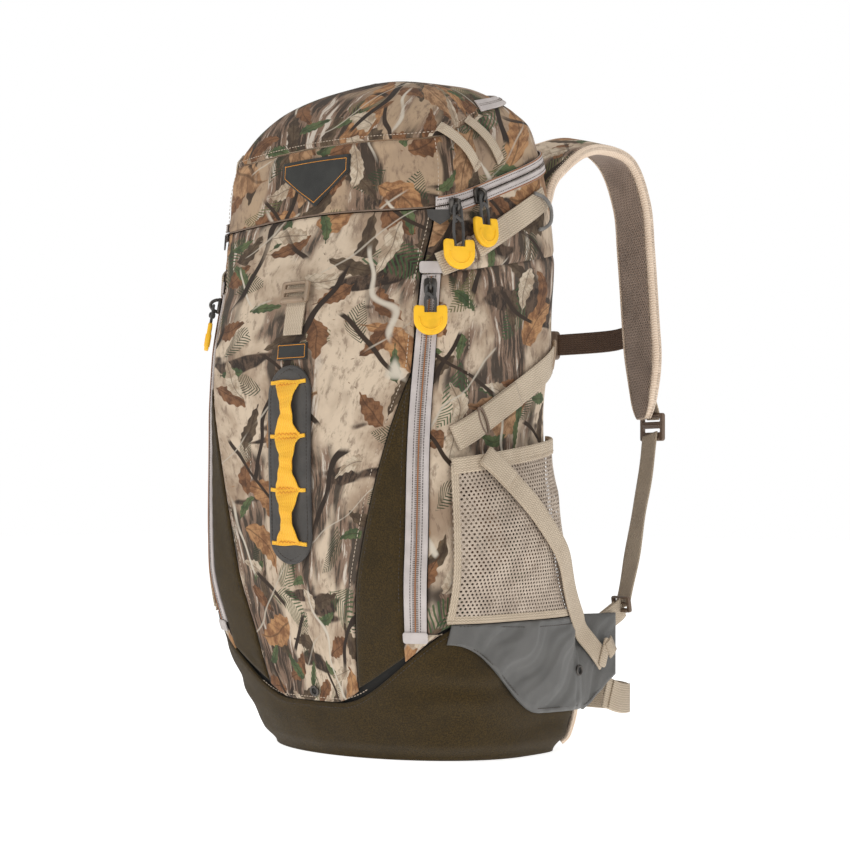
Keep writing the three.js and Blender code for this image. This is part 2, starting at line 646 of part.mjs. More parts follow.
// Half of the sternum strap, from the strap's outer face to the buckle at X = 0.
function sternumHalf(meet, buckle) {
  const up = [0, 0, 1];
  const sag = STERNUM_HEIGHT - 4;
  const web = spaceBand([[70.5, 270.7, STERNUM_HEIGHT, up], [62, 273, STERNUM_HEIGHT - 1, up],
    [45, 276.4, STERNUM_HEIGHT - 3, up], [meet + 6, 277, sag, up]], () => WEB_WIDTH - 1, WEB, 10);
  return join(web, block(buckle, 7, 26, meet + SPLIT + buckle / 2, 277, sag));
}

// Half of the hip belt, from the fin's inner face to the buckle at X = 0.
function beltHalf(buckle) {
  const up = [0, 0, 1];
  const web = spaceBand([[121.2, 160, BELT_HEIGHT + 9, up], [120.5, 178, BELT_HEIGHT + 3, up],
    [113, 203, BELT_HEIGHT, up], [94, 214, BELT_HEIGHT, up], [52, 215, BELT_HEIGHT, up],
    [10, 215, BELT_HEIGHT, up]], () => BELT_WIDTH, WEB + 0.3, 18);
  return join(web, block(buckle, 10, 32, SPLIT + buckle / 2, 215, BELT_HEIGHT));
}

function haulLoop() {
  const up = [0, 0, 1];
  const y0 = yokeFace(19, HAUL_HEIGHT - WEB_WIDTH / 2);
  const half = [[19, y0 - 0.3], [18, y0 + 10], [12, y0 + 18]];
  const stations = [...half.map(([x, y]) => [-x, y, HAUL_HEIGHT, up]), [0, y0 + 20, HAUL_HEIGHT, up],
    ...half.map(([x, y]) => [x, y, HAUL_HEIGHT, up]).reverse()];
  return spaceBand(stations, () => WEB_WIDTH - 4, 2.2, 20);
}

// ---------------------------------------------------------------- zip sliders and pulls
// x level, y out, z up; the foot of the slider is at y = 0.
function sliderBody() {
  const foot = block(10, 2.2, 13, 0, 1.1, 0);
  const bridge = block(3, 7, 10, 0, 2.2 + 3.4, 0);
  return cut(join(foot, bridge), block(8, 3.8, 5, 0, BRIDGE, 0));
}
// The cord runs through the bridge at the origin and hangs down to a D-shaped tab.
function pullBody(drop) {
  const width = 25;
  const height = 22;
  const shape = new THREE.Shape();
  shape.moveTo(-4.5, 0);
  shape.lineTo(-width / 2 + 2, 0.5);
  shape.quadraticCurveTo(-width / 2, 0, -width / 2, -3);
  shape.lineTo(-width / 2, -height + 12.5);
  shape.absarc(0, -height + 12.5, 12.5, Math.PI, 2 * Math.PI, false);
  shape.lineTo(width / 2, -3);
  shape.quadraticCurveTo(width / 2, 0, width / 2 - 2, 0.5);
  shape.lineTo(4.5, 0);
  shape.lineTo(4.5, -5);
  shape.lineTo(-4.5, -5);
  shape.closePath();
  const tab = new THREE.ExtrudeGeometry(shape, { depth: 3.5, bevelEnabled: false, curveSegments: 8 })
    .translate(0, 0, -1.75).rotateX(Math.PI / 2).translate(0, 0, -drop);
  const path = new THREE.CatmullRomCurve3([V(-2.6, 0, -drop - 6), V(-3, 0, -drop * 0.5), V(-3, 0, -4),
    V(-2.6, 0, -0.9), V(0, 0, 0), V(2.6, 0, -0.9), V(3, 0, -4), V(3, 0, -drop * 0.5), V(2.6, 0, -drop - 6)]);
  const round = new THREE.Shape().absarc(0, 0, CORD / 2, 0, 2 * Math.PI, false);
  const cord = new THREE.ExtrudeGeometry(round, { steps: 18, curveSegments: 3, extrudePath: path,
    bevelEnabled: false });
  return join(tab, cord);
}
function addSlider(name, turn, v, lift, drop) {
  add(`${name}_slider`, sliderBody().applyMatrix4(seat(turn, v, lift)), BLACK);
  add(`${name}_pull`, pullBody(drop).applyMatrix4(seat(turn, v, lift + BRIDGE)), ORANGE);
}

// ---------------------------------------------------------------- the pack
add('liner_bag', linerBag(), DARK);
add('base_boot', baseBoot(), OLIVE);
add('front_panel', frontPanel(), CAMO);
addPair('side_wedge', sideWedge(), OLIVE);
addPair('side_zip', sideZip(), ZIP);
addPair('side_panel', sidePanel(), CAMO);
add('back_pad', backPad(), MESH);
add('yoke_panel', yokePanel(), CAMO);
add('frame_sheet', frameSheet(), SHEET);
add('water_sleeve', waterSleeve(), DARK);
add('rim_zip_tape', rimTape(BAG_HEIGHT - SEAM - RIM_TAPE, BAG_HEIGHT - SEAM), ZIP);
add('capsule_panel', capsulePanel(), BLACK);
add('gear_webbing', gearWebbing(), ORANGE);
add('tool_web', toolWeb(), TAN);
add('tool_buckle', toolBuckle(), TAN);
addPair('upper_strap', upperStrap(), TAN);
addPair('lower_strap', lowerStrap(), TAN);
addPair('mesh_pocket', meshPocket(), MESH);
addPair('hip_fin', hipFin(), GREY);
addPair('stabiliser_strap', stabiliser(), TAN);

add('lid_shell', lidShell(), CAMO);
add('lid_floor', lidFloor(), DARK);
add('lid_zip_tape', rimTape(BAG_HEIGHT + SEAM, BAG_HEIGHT + SEAM + RIM_TAPE), ZIP);
add('pocket_zip_tape', pocketTape(), ZIP);
add('lid_patch', lidPatch(), BLACK);
addPair('lid_loop_front', lidLoop(-30), TAN);
addPair('lid_loop_rear', lidLoop(-3), TAN);

addPair('shoulder_strap', shoulderStrap(), MESH);
addPair('strap_lock', strapLock(), TAN);
addPair('lower_web', lowerWeb(), TAN);
add('sternum_right', sternumHalf(-SPLIT_SIDE, 20), TAN);
add('sternum_left', sternumHalf(SPLIT_SIDE, 24), TAN).scale.x = -1;
add('belt_right', beltHalf(26), TAN);
add('belt_left', beltHalf(38), TAN).scale.x = -1;
add('haul_loop', haulLoop(), TAN);

const SIDE_SLIDER_V = ZIP_TOP - 10;
const SIDE_LIFT = ZIP_PROUD + RUN;
const RIM_LIFT = LAY + 0.3 + TAPE + RUN;
addSlider('side_right', zipTurn(SIDE_SLIDER_V) + ZIP_TURN / 2, SIDE_SLIDER_V, SIDE_LIFT, 16);
addSlider('side_left', -zipTurn(SIDE_SLIDER_V) - ZIP_TURN / 2, SIDE_SLIDER_V, SIDE_LIFT, 16);
addSlider('lid_front', 59, BAG_HEIGHT - 3, RIM_LIFT, 26);
addSlider('lid_rear', 78, BAG_HEIGHT - 1, RIM_LIFT, 18);

export default pack;
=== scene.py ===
"""Hunting daypack: cloth, webbing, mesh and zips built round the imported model, in its frame."""
import bmesh
import bpy
import math
import numpy as np
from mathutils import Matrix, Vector
from mathutils.geometry import tessellate_polygon


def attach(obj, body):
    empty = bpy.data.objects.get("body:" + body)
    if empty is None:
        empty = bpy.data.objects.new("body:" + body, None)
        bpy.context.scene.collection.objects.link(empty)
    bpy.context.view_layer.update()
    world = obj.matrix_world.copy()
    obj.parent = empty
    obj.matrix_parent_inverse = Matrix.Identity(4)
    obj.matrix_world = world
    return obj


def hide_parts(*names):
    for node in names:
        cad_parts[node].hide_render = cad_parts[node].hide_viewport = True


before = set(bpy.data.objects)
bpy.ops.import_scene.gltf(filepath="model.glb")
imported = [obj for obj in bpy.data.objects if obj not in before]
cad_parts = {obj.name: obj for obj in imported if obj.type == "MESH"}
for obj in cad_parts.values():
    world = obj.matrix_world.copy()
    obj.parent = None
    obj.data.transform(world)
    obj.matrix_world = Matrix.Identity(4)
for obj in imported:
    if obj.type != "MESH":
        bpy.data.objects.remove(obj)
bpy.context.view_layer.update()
MM = 0.001

# ------------------------------------------------------------------ camera and light
scene = bpy.context.scene
scene.view_settings.view_transform = "Standard"
eye = bpy.data.cameras.new("studio_camera")
camera = bpy.data.objects.new("studio_camera", eye)
scene.collection.objects.link(camera)
AZIMUTH = math.radians(43)
STAND_OFF = 1.570
camera.location = (STAND_OFF * math.sin(AZIMUTH), -STAND_OFF * math.cos(AZIMUTH), 0.207)
camera.rotation_euler = (math.pi / 2, 0, AZIMUTH)
eye.lens = 83.4
eye.shift_x = 0.0741
eye.shift_y = 0.0765
scene.camera = camera

# ------------------------------------------------------------------ shape of the bag, in mm
HEIGHT, LID_RISE, HALF_WIDTH, FRONT, BACK = 420.0, 112.0, 136.0, 80.0, 108.0
SEAM_FRONT = -0.675 * FRONT
SIDE_DROOP = 25.0
ZIP_TURN, ZIP_BOTTOM, ZIP_TOP = 8.0, 100.0, 369.0
WEDGE_TOP = 290.0
BACK_TURN = 138.0
PAD, PAD_BOTTOM, PAD_TOP = 9.0, 62.0, 372.0
RIM_TURN = 50.0
POCKET_FRONT, POCKET_FOOT, RIM_FRONT, RIM_BACK, BULGE = -42.0, 108.5, 230.0, 250.0, 19.0
FIN_FRONT, FIN_TIP, FIN_TOP, WING = -38.0, 170.0, 107.0, 0.72
CAPSULE_WIDTH, CAPSULE_BOTTOM, CAPSULE_TOP = 45.0, 150.0, 303.0
GEAR_PITCH = 41.3
BUCKLE_HEIGHT = 361.0


def level(h, w, f, b, m, nf, nb, tilt):
    return [h * HEIGHT, w * HALF_WIDTH, f * FRONT, b * BACK, m * BACK, nf, nb, tilt]


def lid_level(h, *rest):
    row = level(1, *rest)
    row[0] = HEIGHT + h * LID_RISE
    return row


# Height, half width, front and back depth, where it is widest, squareness, and tilt of each ring.
RINGS = np.array([
    level(0, 0.88, 0.47, 1.11, 0.50, 2.0, 4.6, 0),
    level(0.03, 0.935, 0.58, 1.21, 0.44, 2.1, 5.2, 0),
    level(0.095, 0.965, 0.70, 1.29, 0.28, 2.2, 5.8, 0),
    level(0.215, 0.985, 0.84, 1.24, 0.11, 2.8, 5.4, 0),
    level(0.357, 1.0, 0.975, 1.05, 0.05, 3.3, 4.6, 0),
    level(0.62, 0.97, 1.01, 0.935, 0.05, 3.3, 4.5, 0),
    level(0.74, 0.975, 0.985, 1.02, 0.05, 3.1, 4.5, 0.02),
    level(0.88, 0.95, 0.865, 1.125, 0.05, 2.9, 4.5, 0.18),
    level(1.0, 0.905, 0.675, 1.01, 0.05, 4.2, 4.5, 0.38),
    lid_level(0.27, 0.88, 0.65, 0.90, 0.05, 4.6, 4.5, 0.37),
    lid_level(0.46, 0.835, 0.62, 0.77, 0.05, 4.6, 4.3, 0.33),
    lid_level(0.62, 0.77, 0.52, 0.67, 0.07, 4.2, 3.8, 0.26),
    lid_level(0.78, 0.65, 0.33, 0.55, 0.09, 3.4, 3.2, 0.18),
    lid_level(0.90, 0.46, 0.08, 0.40, 0.11, 2.8, 2.8, 0.11),
    lid_level(0.97, 0.23, -0.12, 0.28, 0.14, 2.3, 2.3, 0.07),
    lid_level(1.0, 0.004, -0.194, 0.150, 0.146, 2, 2, 0.05)])
DOME_TOP = HEIGHT + LID_RISE


def smooth(t):
    c = np.clip(t, 0, 1)
    return c * c * (3 - 2 * c)


def mix(a, b, t):
    return a + (b - a) * t


def through(rows, column, x):
    """A smooth curve through the rows that never overshoots them."""
    keys, values = rows[:, 0], rows[:, column]
    rise = np.diff(values) / np.diff(keys)
    slope = np.zeros(len(keys))
    same = rise[:-1] * rise[1:] > 0
    both = np.where(same, rise[:-1] + rise[1:], 1)
    slope[1:-1] = np.where(same, 2 * rise[:-1] * rise[1:] / both, 0)
    x = np.clip(x, keys[0], keys[-1])
    i = np.clip(np.searchsorted(keys, x, side="right") - 1, 0, len(keys) - 2)
    h = keys[i + 1] - keys[i]
    t = (x - keys[i]) / h
    return (values[i] * (1 + 2 * t) * (1 - t) ** 2 + slope[i] * h * t * (1 - t) ** 2
            + values[i + 1] * t * t * (3 - 2 * t) + slope[i + 1] * h * t * t * (t - 1))


def ring(v):
    """Half width, front, back, middle, two squarenesses and tilt of the bag at ring v."""
    return [through(RINGS, column, v) for column in range(1, 8)]


def on_skin(turn, v):
    """The point of the bag at a turn from the front, in degrees towards +X, on the ring v."""
    turn, v = np.broadcast_arrays(np.asarray(turn, float), np.asarray(v, float))
    w, front, back, middle, nf, nb, tilt = ring(v)
    s, c = np.sin(np.radians(turn)), np.cos(np.radians(turn))
    n = np.where(c > 0, nf, nb)
    reach = (np.abs(s) ** n + np.abs(c) ** n) ** (-1 / n)
    y = middle - np.where(c > 0, middle + front, back - middle) * c * reach
    z = v + tilt * (y - SEAM_FRONT - SIDE_DROOP * (s * reach) ** 2)
    return np.stack([w * s * reach, y, z], -1)


def unit(a):
    return a / np.maximum(np.linalg.norm(a, axis=-1, keepdims=True), 1e-9)


def normal_at(turn, v):
    """The outward direction of the bag's skin."""
    low = np.clip(v, 0, DOME_TOP - 1)
    around = on_skin(np.asarray(turn) + 0.4, low) - on_skin(np.asarray(turn) - 0.4, low)
    foot = np.clip(np.asarray(v) - 0.5, 0, DOME_TOP - 1.5)
    return unit(np.cross(around, on_skin(turn, foot + 1) - on_skin(turn, foot)))


def skin(turn, v, lift):
    """The bag's skin raised outwards by lift."""
    lift = np.asarray(lift, float)[..., None]
    return on_skin(turn, v) + normal_at(turn, v) * lift


def ring_at(turn, z):
    """The ring that stands at height z at a turn."""
    low, high = np.zeros(np.shape(z)), np.full(np.shape(z), DOME_TOP - 2)
    for _ in range(18):
        half = (low + high) / 2
        under = on_skin(turn, half)[..., 2] < z
        low, high = np.where(under, half, low), np.where(under, high, half)
    return (low + high) / 2


def side_place(y, z):
    """The turn and ring of a place on the +X side, from its y and z."""
    y, z = np.broadcast_arrays(np.asarray(y, float), np.asarray(z, float))
    low, high = np.full(y.shape, 1.0), np.full(y.shape, 179.0)
    for _ in range(16):
        half = (low + high) / 2
        before = on_skin(half, ring_at(half, z))[..., 1] < y
        low, high = np.where(before, half, low), np.where(before, high, half)
    turn = (low + high) / 2
    return turn, ring_at(turn, z)


def zip_turn(v):
    """The front edge of the side zip."""
    return 37 + 0.03 * v


def wedge_turn(v):
    """The front edge of the fleece wedge."""
    q = np.clip((WEDGE_TOP + 4 - v) / (WEDGE_TOP - 50), 0, 1)
    return zip_turn(v) - 0.5 - 17.5 * (1 - (1 - q) ** 2)


def boot_top(turn):
    """The ring where the fleece boot ends."""
    a = np.abs((turn + 180) % 360 - 180)
    rise = 43 + 62 * smooth((a - 12) / 52)
    return mix(rise, PAD_BOTTOM - 4, smooth((a - 105) / 30))


def front_turn(x, v):
    """The turn of a place x millimetres to the side of the front's middle."""
    return np.degrees(np.arctan(x / ring(v)[0]))


def rumple(points, size, seed, sharp=1.0):
    """Soft folds about `size` millimetres long, from -1 to 1; sharp over 1 pinches their ridges."""
    pick = np.random.default_rng(seed)
    total = np.zeros(points.shape[:-1])
    for _ in range(9):
        wave = unit(pick.normal(size=3)) * 2 * np.pi / (size * pick.uniform(0.7, 1.6))
        total += np.sin(points @ wave + pick.uniform(0, 6.28))
    total = np.clip(total / 4.5, -1, 1)
    return np.sign(total) * (1 - (1 - np.abs(total)) ** (1 / sharp)) if sharp != 1 else total


def curve_through(stations, count):
    """Points on a smooth curve through the stations, evenly spread over its spans."""
    p = np.asarray(stations, float)
    p = np.vstack([2 * p[0] - p[1], p, 2 * p[-1] - p[-2]])
    spans = len(stations) - 1
    at = np.linspace(0, spans, count)
    i = np.minimum(at.astype(int), spans - 1)
    t = (at - i)[:, None]
    gap = np.maximum(np.linalg.norm(np.diff(p, axis=0), axis=1), 1e-6)[:, None] ** 0.5
    p0, p1, p2, p3 = p[i], p[i + 1], p[i + 2], p[i + 3]
    d0, d1, d2 = gap[i], gap[i + 1], gap[i + 2]
    t1 = ((p1 - p0) / d0 - (p2 - p0) / (d0 + d1) + (p2 - p1) / d1) * d1
    t2 = ((p2 - p1) / d1 - (p3 - p1) / (d1 + d2) + (p3 - p2) / d2) * d1
    return (p1 + t1 * t + (-3 * p1 + 3 * p2 - 2 * t1 - t2) * t ** 2
            + (2 * p1 - 2 * p2 + t1 + t2) * t ** 3)


def tangents(path):
    return unit(np.gradient(path, axis=0))


# ------------------------------------------------------------------ meshes
SWAY_LENGTH = 38  # of the slow twist in a length of webbing


class Mesh:
    """Points, faces and face colours of one object, gathered piece by piece."""

    def __init__(self):
        self.points, self.faces, self.slots, self.spots = [], [], [], []
        self.count = 0

    def add(self, points, faces, spots=None):
        points = np.asarray(points, float).reshape(-1, 3)
        self.points.append(points)
        self.faces += [tuple(int(i) + self.count for i in f) for f in faces]
        self.slots += [0] * len(faces)
        self.spots.append(np.zeros((len(points), 2)) if spots is None
                          else np.asarray(spots, float).reshape(-1, 2))
        self.count += len(points)

    def object(self, name, *materials, smooth_faces=True, flip=False):
        data = bpy.data.meshes.new(name)
        points = np.concatenate(self.points)
        faces = [f[::-1] for f in self.faces] if flip else self.faces
        data.from_pydata((points * MM).tolist(), [], faces)
        for material in materials:
            data.materials.append(material)
        data.polygons.foreach_set("material_index", self.slots)
        data.polygons.foreach_set("use_smooth", [smooth_faces] * len(faces))
        layer = data.uv_layers.new(name="lay")
        corner = np.zeros(len(data.loops), np.int32)
        data.loops.foreach_get("vertex_index", corner)
        layer.data.foreach_set("uv", np.concatenate(self.spots)[corner].ravel())
        data.validate()
        data.update()
        made = bpy.data.objects.new(name, data)
        scene.collection.objects.link(made)
        return made


def grid_faces(rows, columns, wrap=False):
    """Quads of a rows x columns grid, the second index wrapping round if asked."""
    faces = []
    for i in range(rows - 1):
        for j in range(columns if wrap else columns - 1):
            k = (j + 1) % columns
            faces.append((i * columns + j, i * columns + k, (i + 1) * columns + k,
                          (i + 1) * columns + j))
    return faces


def spots_of(outer):
    """Distances along and across a grid of points, in millimetres, for woven textures."""
    along = np.cumsum(np.r_[0, np.linalg.norm(np.diff(outer, axis=0), axis=-1).mean(1)])
    across = np.cumsum(np.r_[0, np.linalg.norm(np.diff(outer, axis=1), axis=-1).mean(0)])
    a, b = np.meshgrid(along, across - across[-1] / 2, indexing="ij")
    return np.stack([a, b], -1)


def shell(mesh, outer, inner, inner_slot=0):
    """Close two facing grids of points into one thin solid; outer's rows x columns face out."""
    rows, columns = outer.shape[:2]
    spots = spots_of(outer).reshape(-1, 2)
    n = rows * columns
    faces = grid_faces(rows, columns)
    back = [tuple(i + n for i in f[::-1]) for f in faces]
    rim = (list(range(columns)) + [i * columns + columns - 1 for i in range(1, rows)]
           + [(rows - 1) * columns + j for j in range(columns - 2, -1, -1)]
           + [i * columns for i in range(rows - 2, 0, -1)])
    edge = [(rim[(k + 1) % len(rim)], rim[k], rim[k] + n, rim[(k + 1) % len(rim)] + n)
            for k in range(len(rim))]
    mesh.add(np.concatenate([outer.reshape(-1, 3), inner.reshape(-1, 3)]), [],
             spots=np.concatenate([spots, spots]))
    base = mesh.count - 2 * n
    for group, which in ((faces, 0), (back, inner_slot), (edge, 0)):
        mesh.faces += [tuple(i + base for i in f) for f in group]
        mesh.slots += [which] * len(group)


def band(mesh, path, out, width, thick, wave=0.0, seed=1):
    """Flat webbing along a path: out is its upper face, and width may change along it."""
    path = np.asarray(path, float)
    n = len(path)
    out = np.broadcast_to(np.asarray(out, float), path.shape)
    along = tangents(path)
    across = unit(np.cross(out, along))
    up = unit(np.cross(along, across))
    width = np.broadcast_to(np.asarray(width, float), (n,))
    # The cross-section: a flat face with rolled selvages.
    profile = np.array([(-1, 0), (-0.975, 0.36), (-0.92, 0.5), (-0.6, 0.5), (-0.2, 0.5), (0.2, 0.5),
                        (0.6, 0.5), (0.92, 0.5), (0.975, 0.36), (1, 0), (0.975, -0.36),
                        (0.92, -0.5), (0.6, -0.5), (0.2, -0.5), (-0.2, -0.5), (-0.6, -0.5),
                        (-0.92, -0.5), (-0.975, -0.36)])
    m = len(profile)
    sway = wave * rumple(path, SWAY_LENGTH, seed)
    points = (path[:, None] + across[:, None] * profile[None, :, :1] * (width / 2)[:, None, None]
              + up[:, None] * (profile[:, 1][None, :] * thick
                               + sway[:, None] * profile[:, 0][None, :])[..., None])
    length = np.cumsum(np.r_[0, np.linalg.norm(np.diff(path, axis=0), axis=1)])
    spots = np.stack([np.broadcast_to(length[:, None], (n, m)),
                      profile[None, :, 0] * (width / 2)[:, None]], -1)
    faces = [f[::-1] for f in grid_faces(n, m, wrap=True)]
    faces += [tuple(range(m)), tuple((n - 1) * m + j for j in range(m - 1, -1, -1))]
    mesh.add(points, faces, spots)


def tube(mesh, path, radius, sides=10, squash=1.0, up=(0, 0, 1), closed=False):
    """A round or oval cord along a path."""
    path = np.asarray(path, float)
    n = len(path)
    radius = np.broadcast_to(np.asarray(radius, float), (n,))
    along = unit(np.roll(path, -1, 0) - np.roll(path, 1, 0)) if closed else tangents(path)
    up = np.broadcast_to(np.asarray(up, float), path.shape)
    side = unit(np.cross(up, along))
    high = unit(np.cross(along, side))
    a = np.linspace(0, 2 * np.pi, sides, endpoint=False)
    points = (path[:, None] + radius[:, None, None]
              * (side[:, None] * np.cos(a)[None, :, None]
                 + high[:, None] * squash * np.sin(a)[None, :, None]))
    length = np.cumsum(np.r_[0, np.linalg.norm(np.diff(path, axis=0), axis=1)])
    spots = np.stack([np.broadcast_to(length[:, None], (n, sides)),
                      np.broadcast_to(a[None] * radius.mean(), (n, sides))], -1)
    faces = grid_faces(n, sides, wrap=True)
    if closed:
        faces += [((n - 1) * sides + j, (n - 1) * sides + (j + 1) % sides, (j + 1) % sides, j)
                  for j in range(sides)]
    else:
        faces += [tuple(range(sides - 1, -1, -1)),
                  tuple((n - 1) * sides + j for j in range(sides))]
    mesh.add(points, faces, spots)


def plate(mesh, outline, at, right, up, thick, round_edge=0.5, holes=()):
    """A flat moulded plate with softened edges: outline and holes are 2-D loops, anticlockwise."""
    right, up, at = (np.asarray(v, float) for v in (right, up, at))
    out = unit(np.cross(right, up))
    loops = [np.asarray(outline, float)] + [np.asarray(h, float)[::-1] for h in holes]

    def inset(loop, by):
        back, ahead = np.roll(loop, 1, 0) - loop, np.roll(loop, -1, 0) - loop
        side = unit(unit(ahead) - unit(back))
        return loop + np.stack([-side[:, 1], side[:, 0]], -1) * by

    levels = [(round_edge, 0.0), (round_edge * 0.3, round_edge * 0.3), (0, round_edge),
              (0, thick - round_edge), (round_edge * 0.3, thick - round_edge * 0.3),
              (round_edge, thick)]
    placed, spots = [], []
    for by, height in levels:
        for loop in loops:
            flat = inset(loop, by)
            placed.append(at + flat[:, :1] * right + flat[:, 1:] * up + out * height)
            spots.append(flat)
    sizes = [len(loop) for loop in loops]
    total = sum(sizes)
    faces = []
    for k in range(len(levels) - 1):
        offset = 0
        for size in sizes:
            a = k * total + offset
            faces += [(a + j, a + (j + 1) % size, a + total + (j + 1) % size, a + total + j)
                      for j in range(size)]
            offset += size
    caps = [[Vector((p[0], p[1], 0)) for p in inset(loop, round_edge)] for loop in loops]
    corners = sum(caps, [])
    for tri in tessellate_polygon(caps):
        p = [np.array(corners[i][:2]) for i in tri]
        turn = np.cross(np.r_[p[1] - p[0], 0], np.r_[p[2] - p[0], 0])[2]
        tri = tri if turn > 0 else tri[::-1]
        top = (len(levels) - 1) * total
        faces.append(tuple(top + i for i in tri))
        faces.append(tuple(tri[::-1]))
    mesh.add(np.concatenate(placed), faces, np.concatenate(spots))


def oblong(width, height, corner, count=6, at=(0, 0)):
    """A rectangle's outline with round corners, anticlockwise."""
    corner = min(corner, width / 2 - 0.01, height / 2 - 0.01)
    points = []
    for cx, cy, a in ((1, 1, 0), (-1, 1, 90), (-1, -1, 180), (1, -1, 270)):
        for k in range(count + 1):
            t = math.radians(a + 90 * k / count)
            points.append((at[0] + cx * (width / 2 - corner) + corner * math.cos(t),
                           at[1] + cy * (height / 2 - corner) + corner * math.sin(t)))
    return points


def disc(radius, count):
    return [(radius * math.cos(t), radius * math.sin(t))
            for t in np.linspace(0, 2 * np.pi, count, endpoint=False)]


def mirrored(mesh):
    """The same mesh on the -X side."""
    other = Mesh()
    other.points = [p * np.array([-1, 1, 1]) for p in mesh.points]
    other.faces = [f[::-1] for f in mesh.faces]
    other.slots, other.spots, other.count = list(mesh.slots), list(mesh.spots), mesh.count
    return other


# ------------------------------------------------------------------ materials
class Wire:
    """A shader value; arithmetic on it adds Math, Vector Math or Mix nodes."""

    def __init__(self, look, socket):
        self.look, self.socket = look, socket
        self.wide = socket.type in {"VECTOR", "RGBA"}

    def sums(self, how, other, swap=False):
        a, b = (other, self) if swap else (self, other)
        wide = self.wide or isinstance(other, tuple) or (isinstance(other, Wire) and other.wide)
        kind = "ShaderNodeVectorMath" if wide else "ShaderNodeMath"
        return self.look.node(kind, {"operation": how}, {0: a, 1: b})

    def __add__(self, other): return self.sums("ADD", other)
    def __radd__(self, other): return self.sums("ADD", other, True)
    def __sub__(self, other): return self.sums("SUBTRACT", other)
    def __rsub__(self, other): return self.sums("SUBTRACT", other, True)
    def __mul__(self, other): return self.sums("MULTIPLY", other)
    def __rmul__(self, other): return self.sums("MULTIPLY", other, True)
    def __truediv__(self, other): return self.sums("DIVIDE", other)
    def __neg__(self): return self * -1.0

    def over(self, how, *others):
        """A one-socket Math function of this value, such as SINE, ABSOLUTE or GREATER_THAN."""
        return self.look.node("ShaderNodeMath", {"operation": how},
                              {0: self, **{i + 1: v for i, v in enumerate(others)}})

    def step(self, low, high):
        """0 below low, 1 above high, smooth between; low may be the larger."""
        return self.look.node("ShaderNodeMapRange", {"interpolation_type": "SMOOTHSTEP"},
                              {0: self, 1: low, 2: high, 3: 0.0, 4: 1.0})

    def part(self, axis):
        return self.look.node("ShaderNodeSeparateXYZ", {}, {0: self}, out=axis)


class Look:
    """One procedural material with a single Principled shader."""

    def __init__(self, name, roughness=0.9, metallic=0.0, sheen=0.0):
        self.material = bpy.data.materials.new(name)
        self.material.use_nodes = True
        self.tree = self.material.node_tree
        self.tree.nodes.clear()
        self.shader = self.tree.nodes.new("ShaderNodeBsdfPrincipled")
        end = self.tree.nodes.new("ShaderNodeOutputMaterial")
        self.tree.links.new(self.shader.outputs[0], end.inputs[0])
        self.set("Roughness", roughness)
        self.set("Metallic", metallic)
        self.set("Sheen Weight", sheen)
        self.set("Sheen Roughness", 0.6)
        self.set("Specular IOR Level", 0.3)
        self.place = self.node("ShaderNodeTexCoord", {}, {}, out="Object")
        self.lay = self.node("ShaderNodeUVMap", {"uv_map": "lay"}, {})

    def node(self, kind, settings, inputs, out=0):
        made = self.tree.nodes.new(kind)
        for key, value in settings.items():
            setattr(made, key, value)
        for key, value in inputs.items():
            socket = made.inputs[key]
            if isinstance(value, Wire):
                self.tree.links.new(value.socket, socket)
            elif isinstance(value, tuple) and socket.type == "RGBA" and len(value) == 3:
                socket.default_value = (*value, 1)
            elif socket.type == "VECTOR" and not isinstance(value, tuple):
                socket.default_value = (value,) * 3
            else:
                socket.default_value = value
        return Wire(self, made.outputs[out])

    def set(self, name, value):
        if isinstance(value, Wire):
            self.tree.links.new(value.socket, self.shader.inputs[name])
        elif isinstance(value, tuple):
            self.shader.inputs[name].default_value = (*value, 1)
        else:
            self.shader.inputs[name].default_value = value

    def blend(self, a, b, by):
        return self.node("ShaderNodeMix", {"data_type": "RGBA"}, {0: by, 6: a, 7: b}, out=2)

    def noise(self, at, scale, detail=3.0, rough=0.55, out=0):
        return self.node("ShaderNodeTexNoise", {},
                         {"Vector": at, "Scale": scale, "Detail": detail, "Roughness": rough}, out)

    def bump(self, height, strength, distance):
        self.set("Normal", self.node("ShaderNodeBump", {}, {
            "Strength": strength, "Distance": distance * MM, "Height": height}))


def tone(red, green, blue):
    """A linear colour from 0-255 screen values."""
    return tuple(((c / 255 + 0.055) / 1.055) ** 2.4 if c > 10 else c / 3294
                 for c in (red, green, blue))


def scattered(look, at, scale, seed):
    """Each place's position along and across its cell's one motif, and the cell's own values."""
    at = at * scale + (seed * 3.7, seed * 1.3, 0.0)
    settings = {"voronoi_dimensions": "2D", "feature": "F1"}
    inputs = {"Vector": at, "Scale": 1.0, "Randomness": 0.8}
    own = look.node("ShaderNodeTexVoronoi", settings, inputs, out="Color")
    off = at - look.node("ShaderNodeTexVoronoi", settings, inputs, out="Position")
    turn = own.part(1) * 6.283
    x, y, c, s = off.part(0), off.part(1), turn.over("COSINE"), turn.over("SINE")
    return x * c + y * s, y * c - x * s, own


def leaves(look, at, scale, seed, long=0.40, wide=0.15):
    """One scattered leaf in each cell: its mask, its veins and its own random value."""
    along, across, own = scattered(look, at, scale, seed)
    bend = (across + along * along * (own.part(2) - 0.5) * 1.6).over("ABSOLUTE")
    q = along * (1 / long)
    half = (1.0 - q * q).over("MAXIMUM", 0.0) * (q * -0.35 + 1.0) * wide
    lobes = (along * 42.0 + own.part(0) * 9.0).over("SINE") * 0.014
    mask = (half - bend + lobes).step(0.0, 0.016)
    rib = (bend * -1.0 + 0.010).step(-0.006, 0.006)
    vein = (along * 52.0 - bend * 60.0).over("SINE").step(0.80, 1.0)
    return mask, rib.over("MAXIMUM", vein * 0.5) * mask, own.part(0)


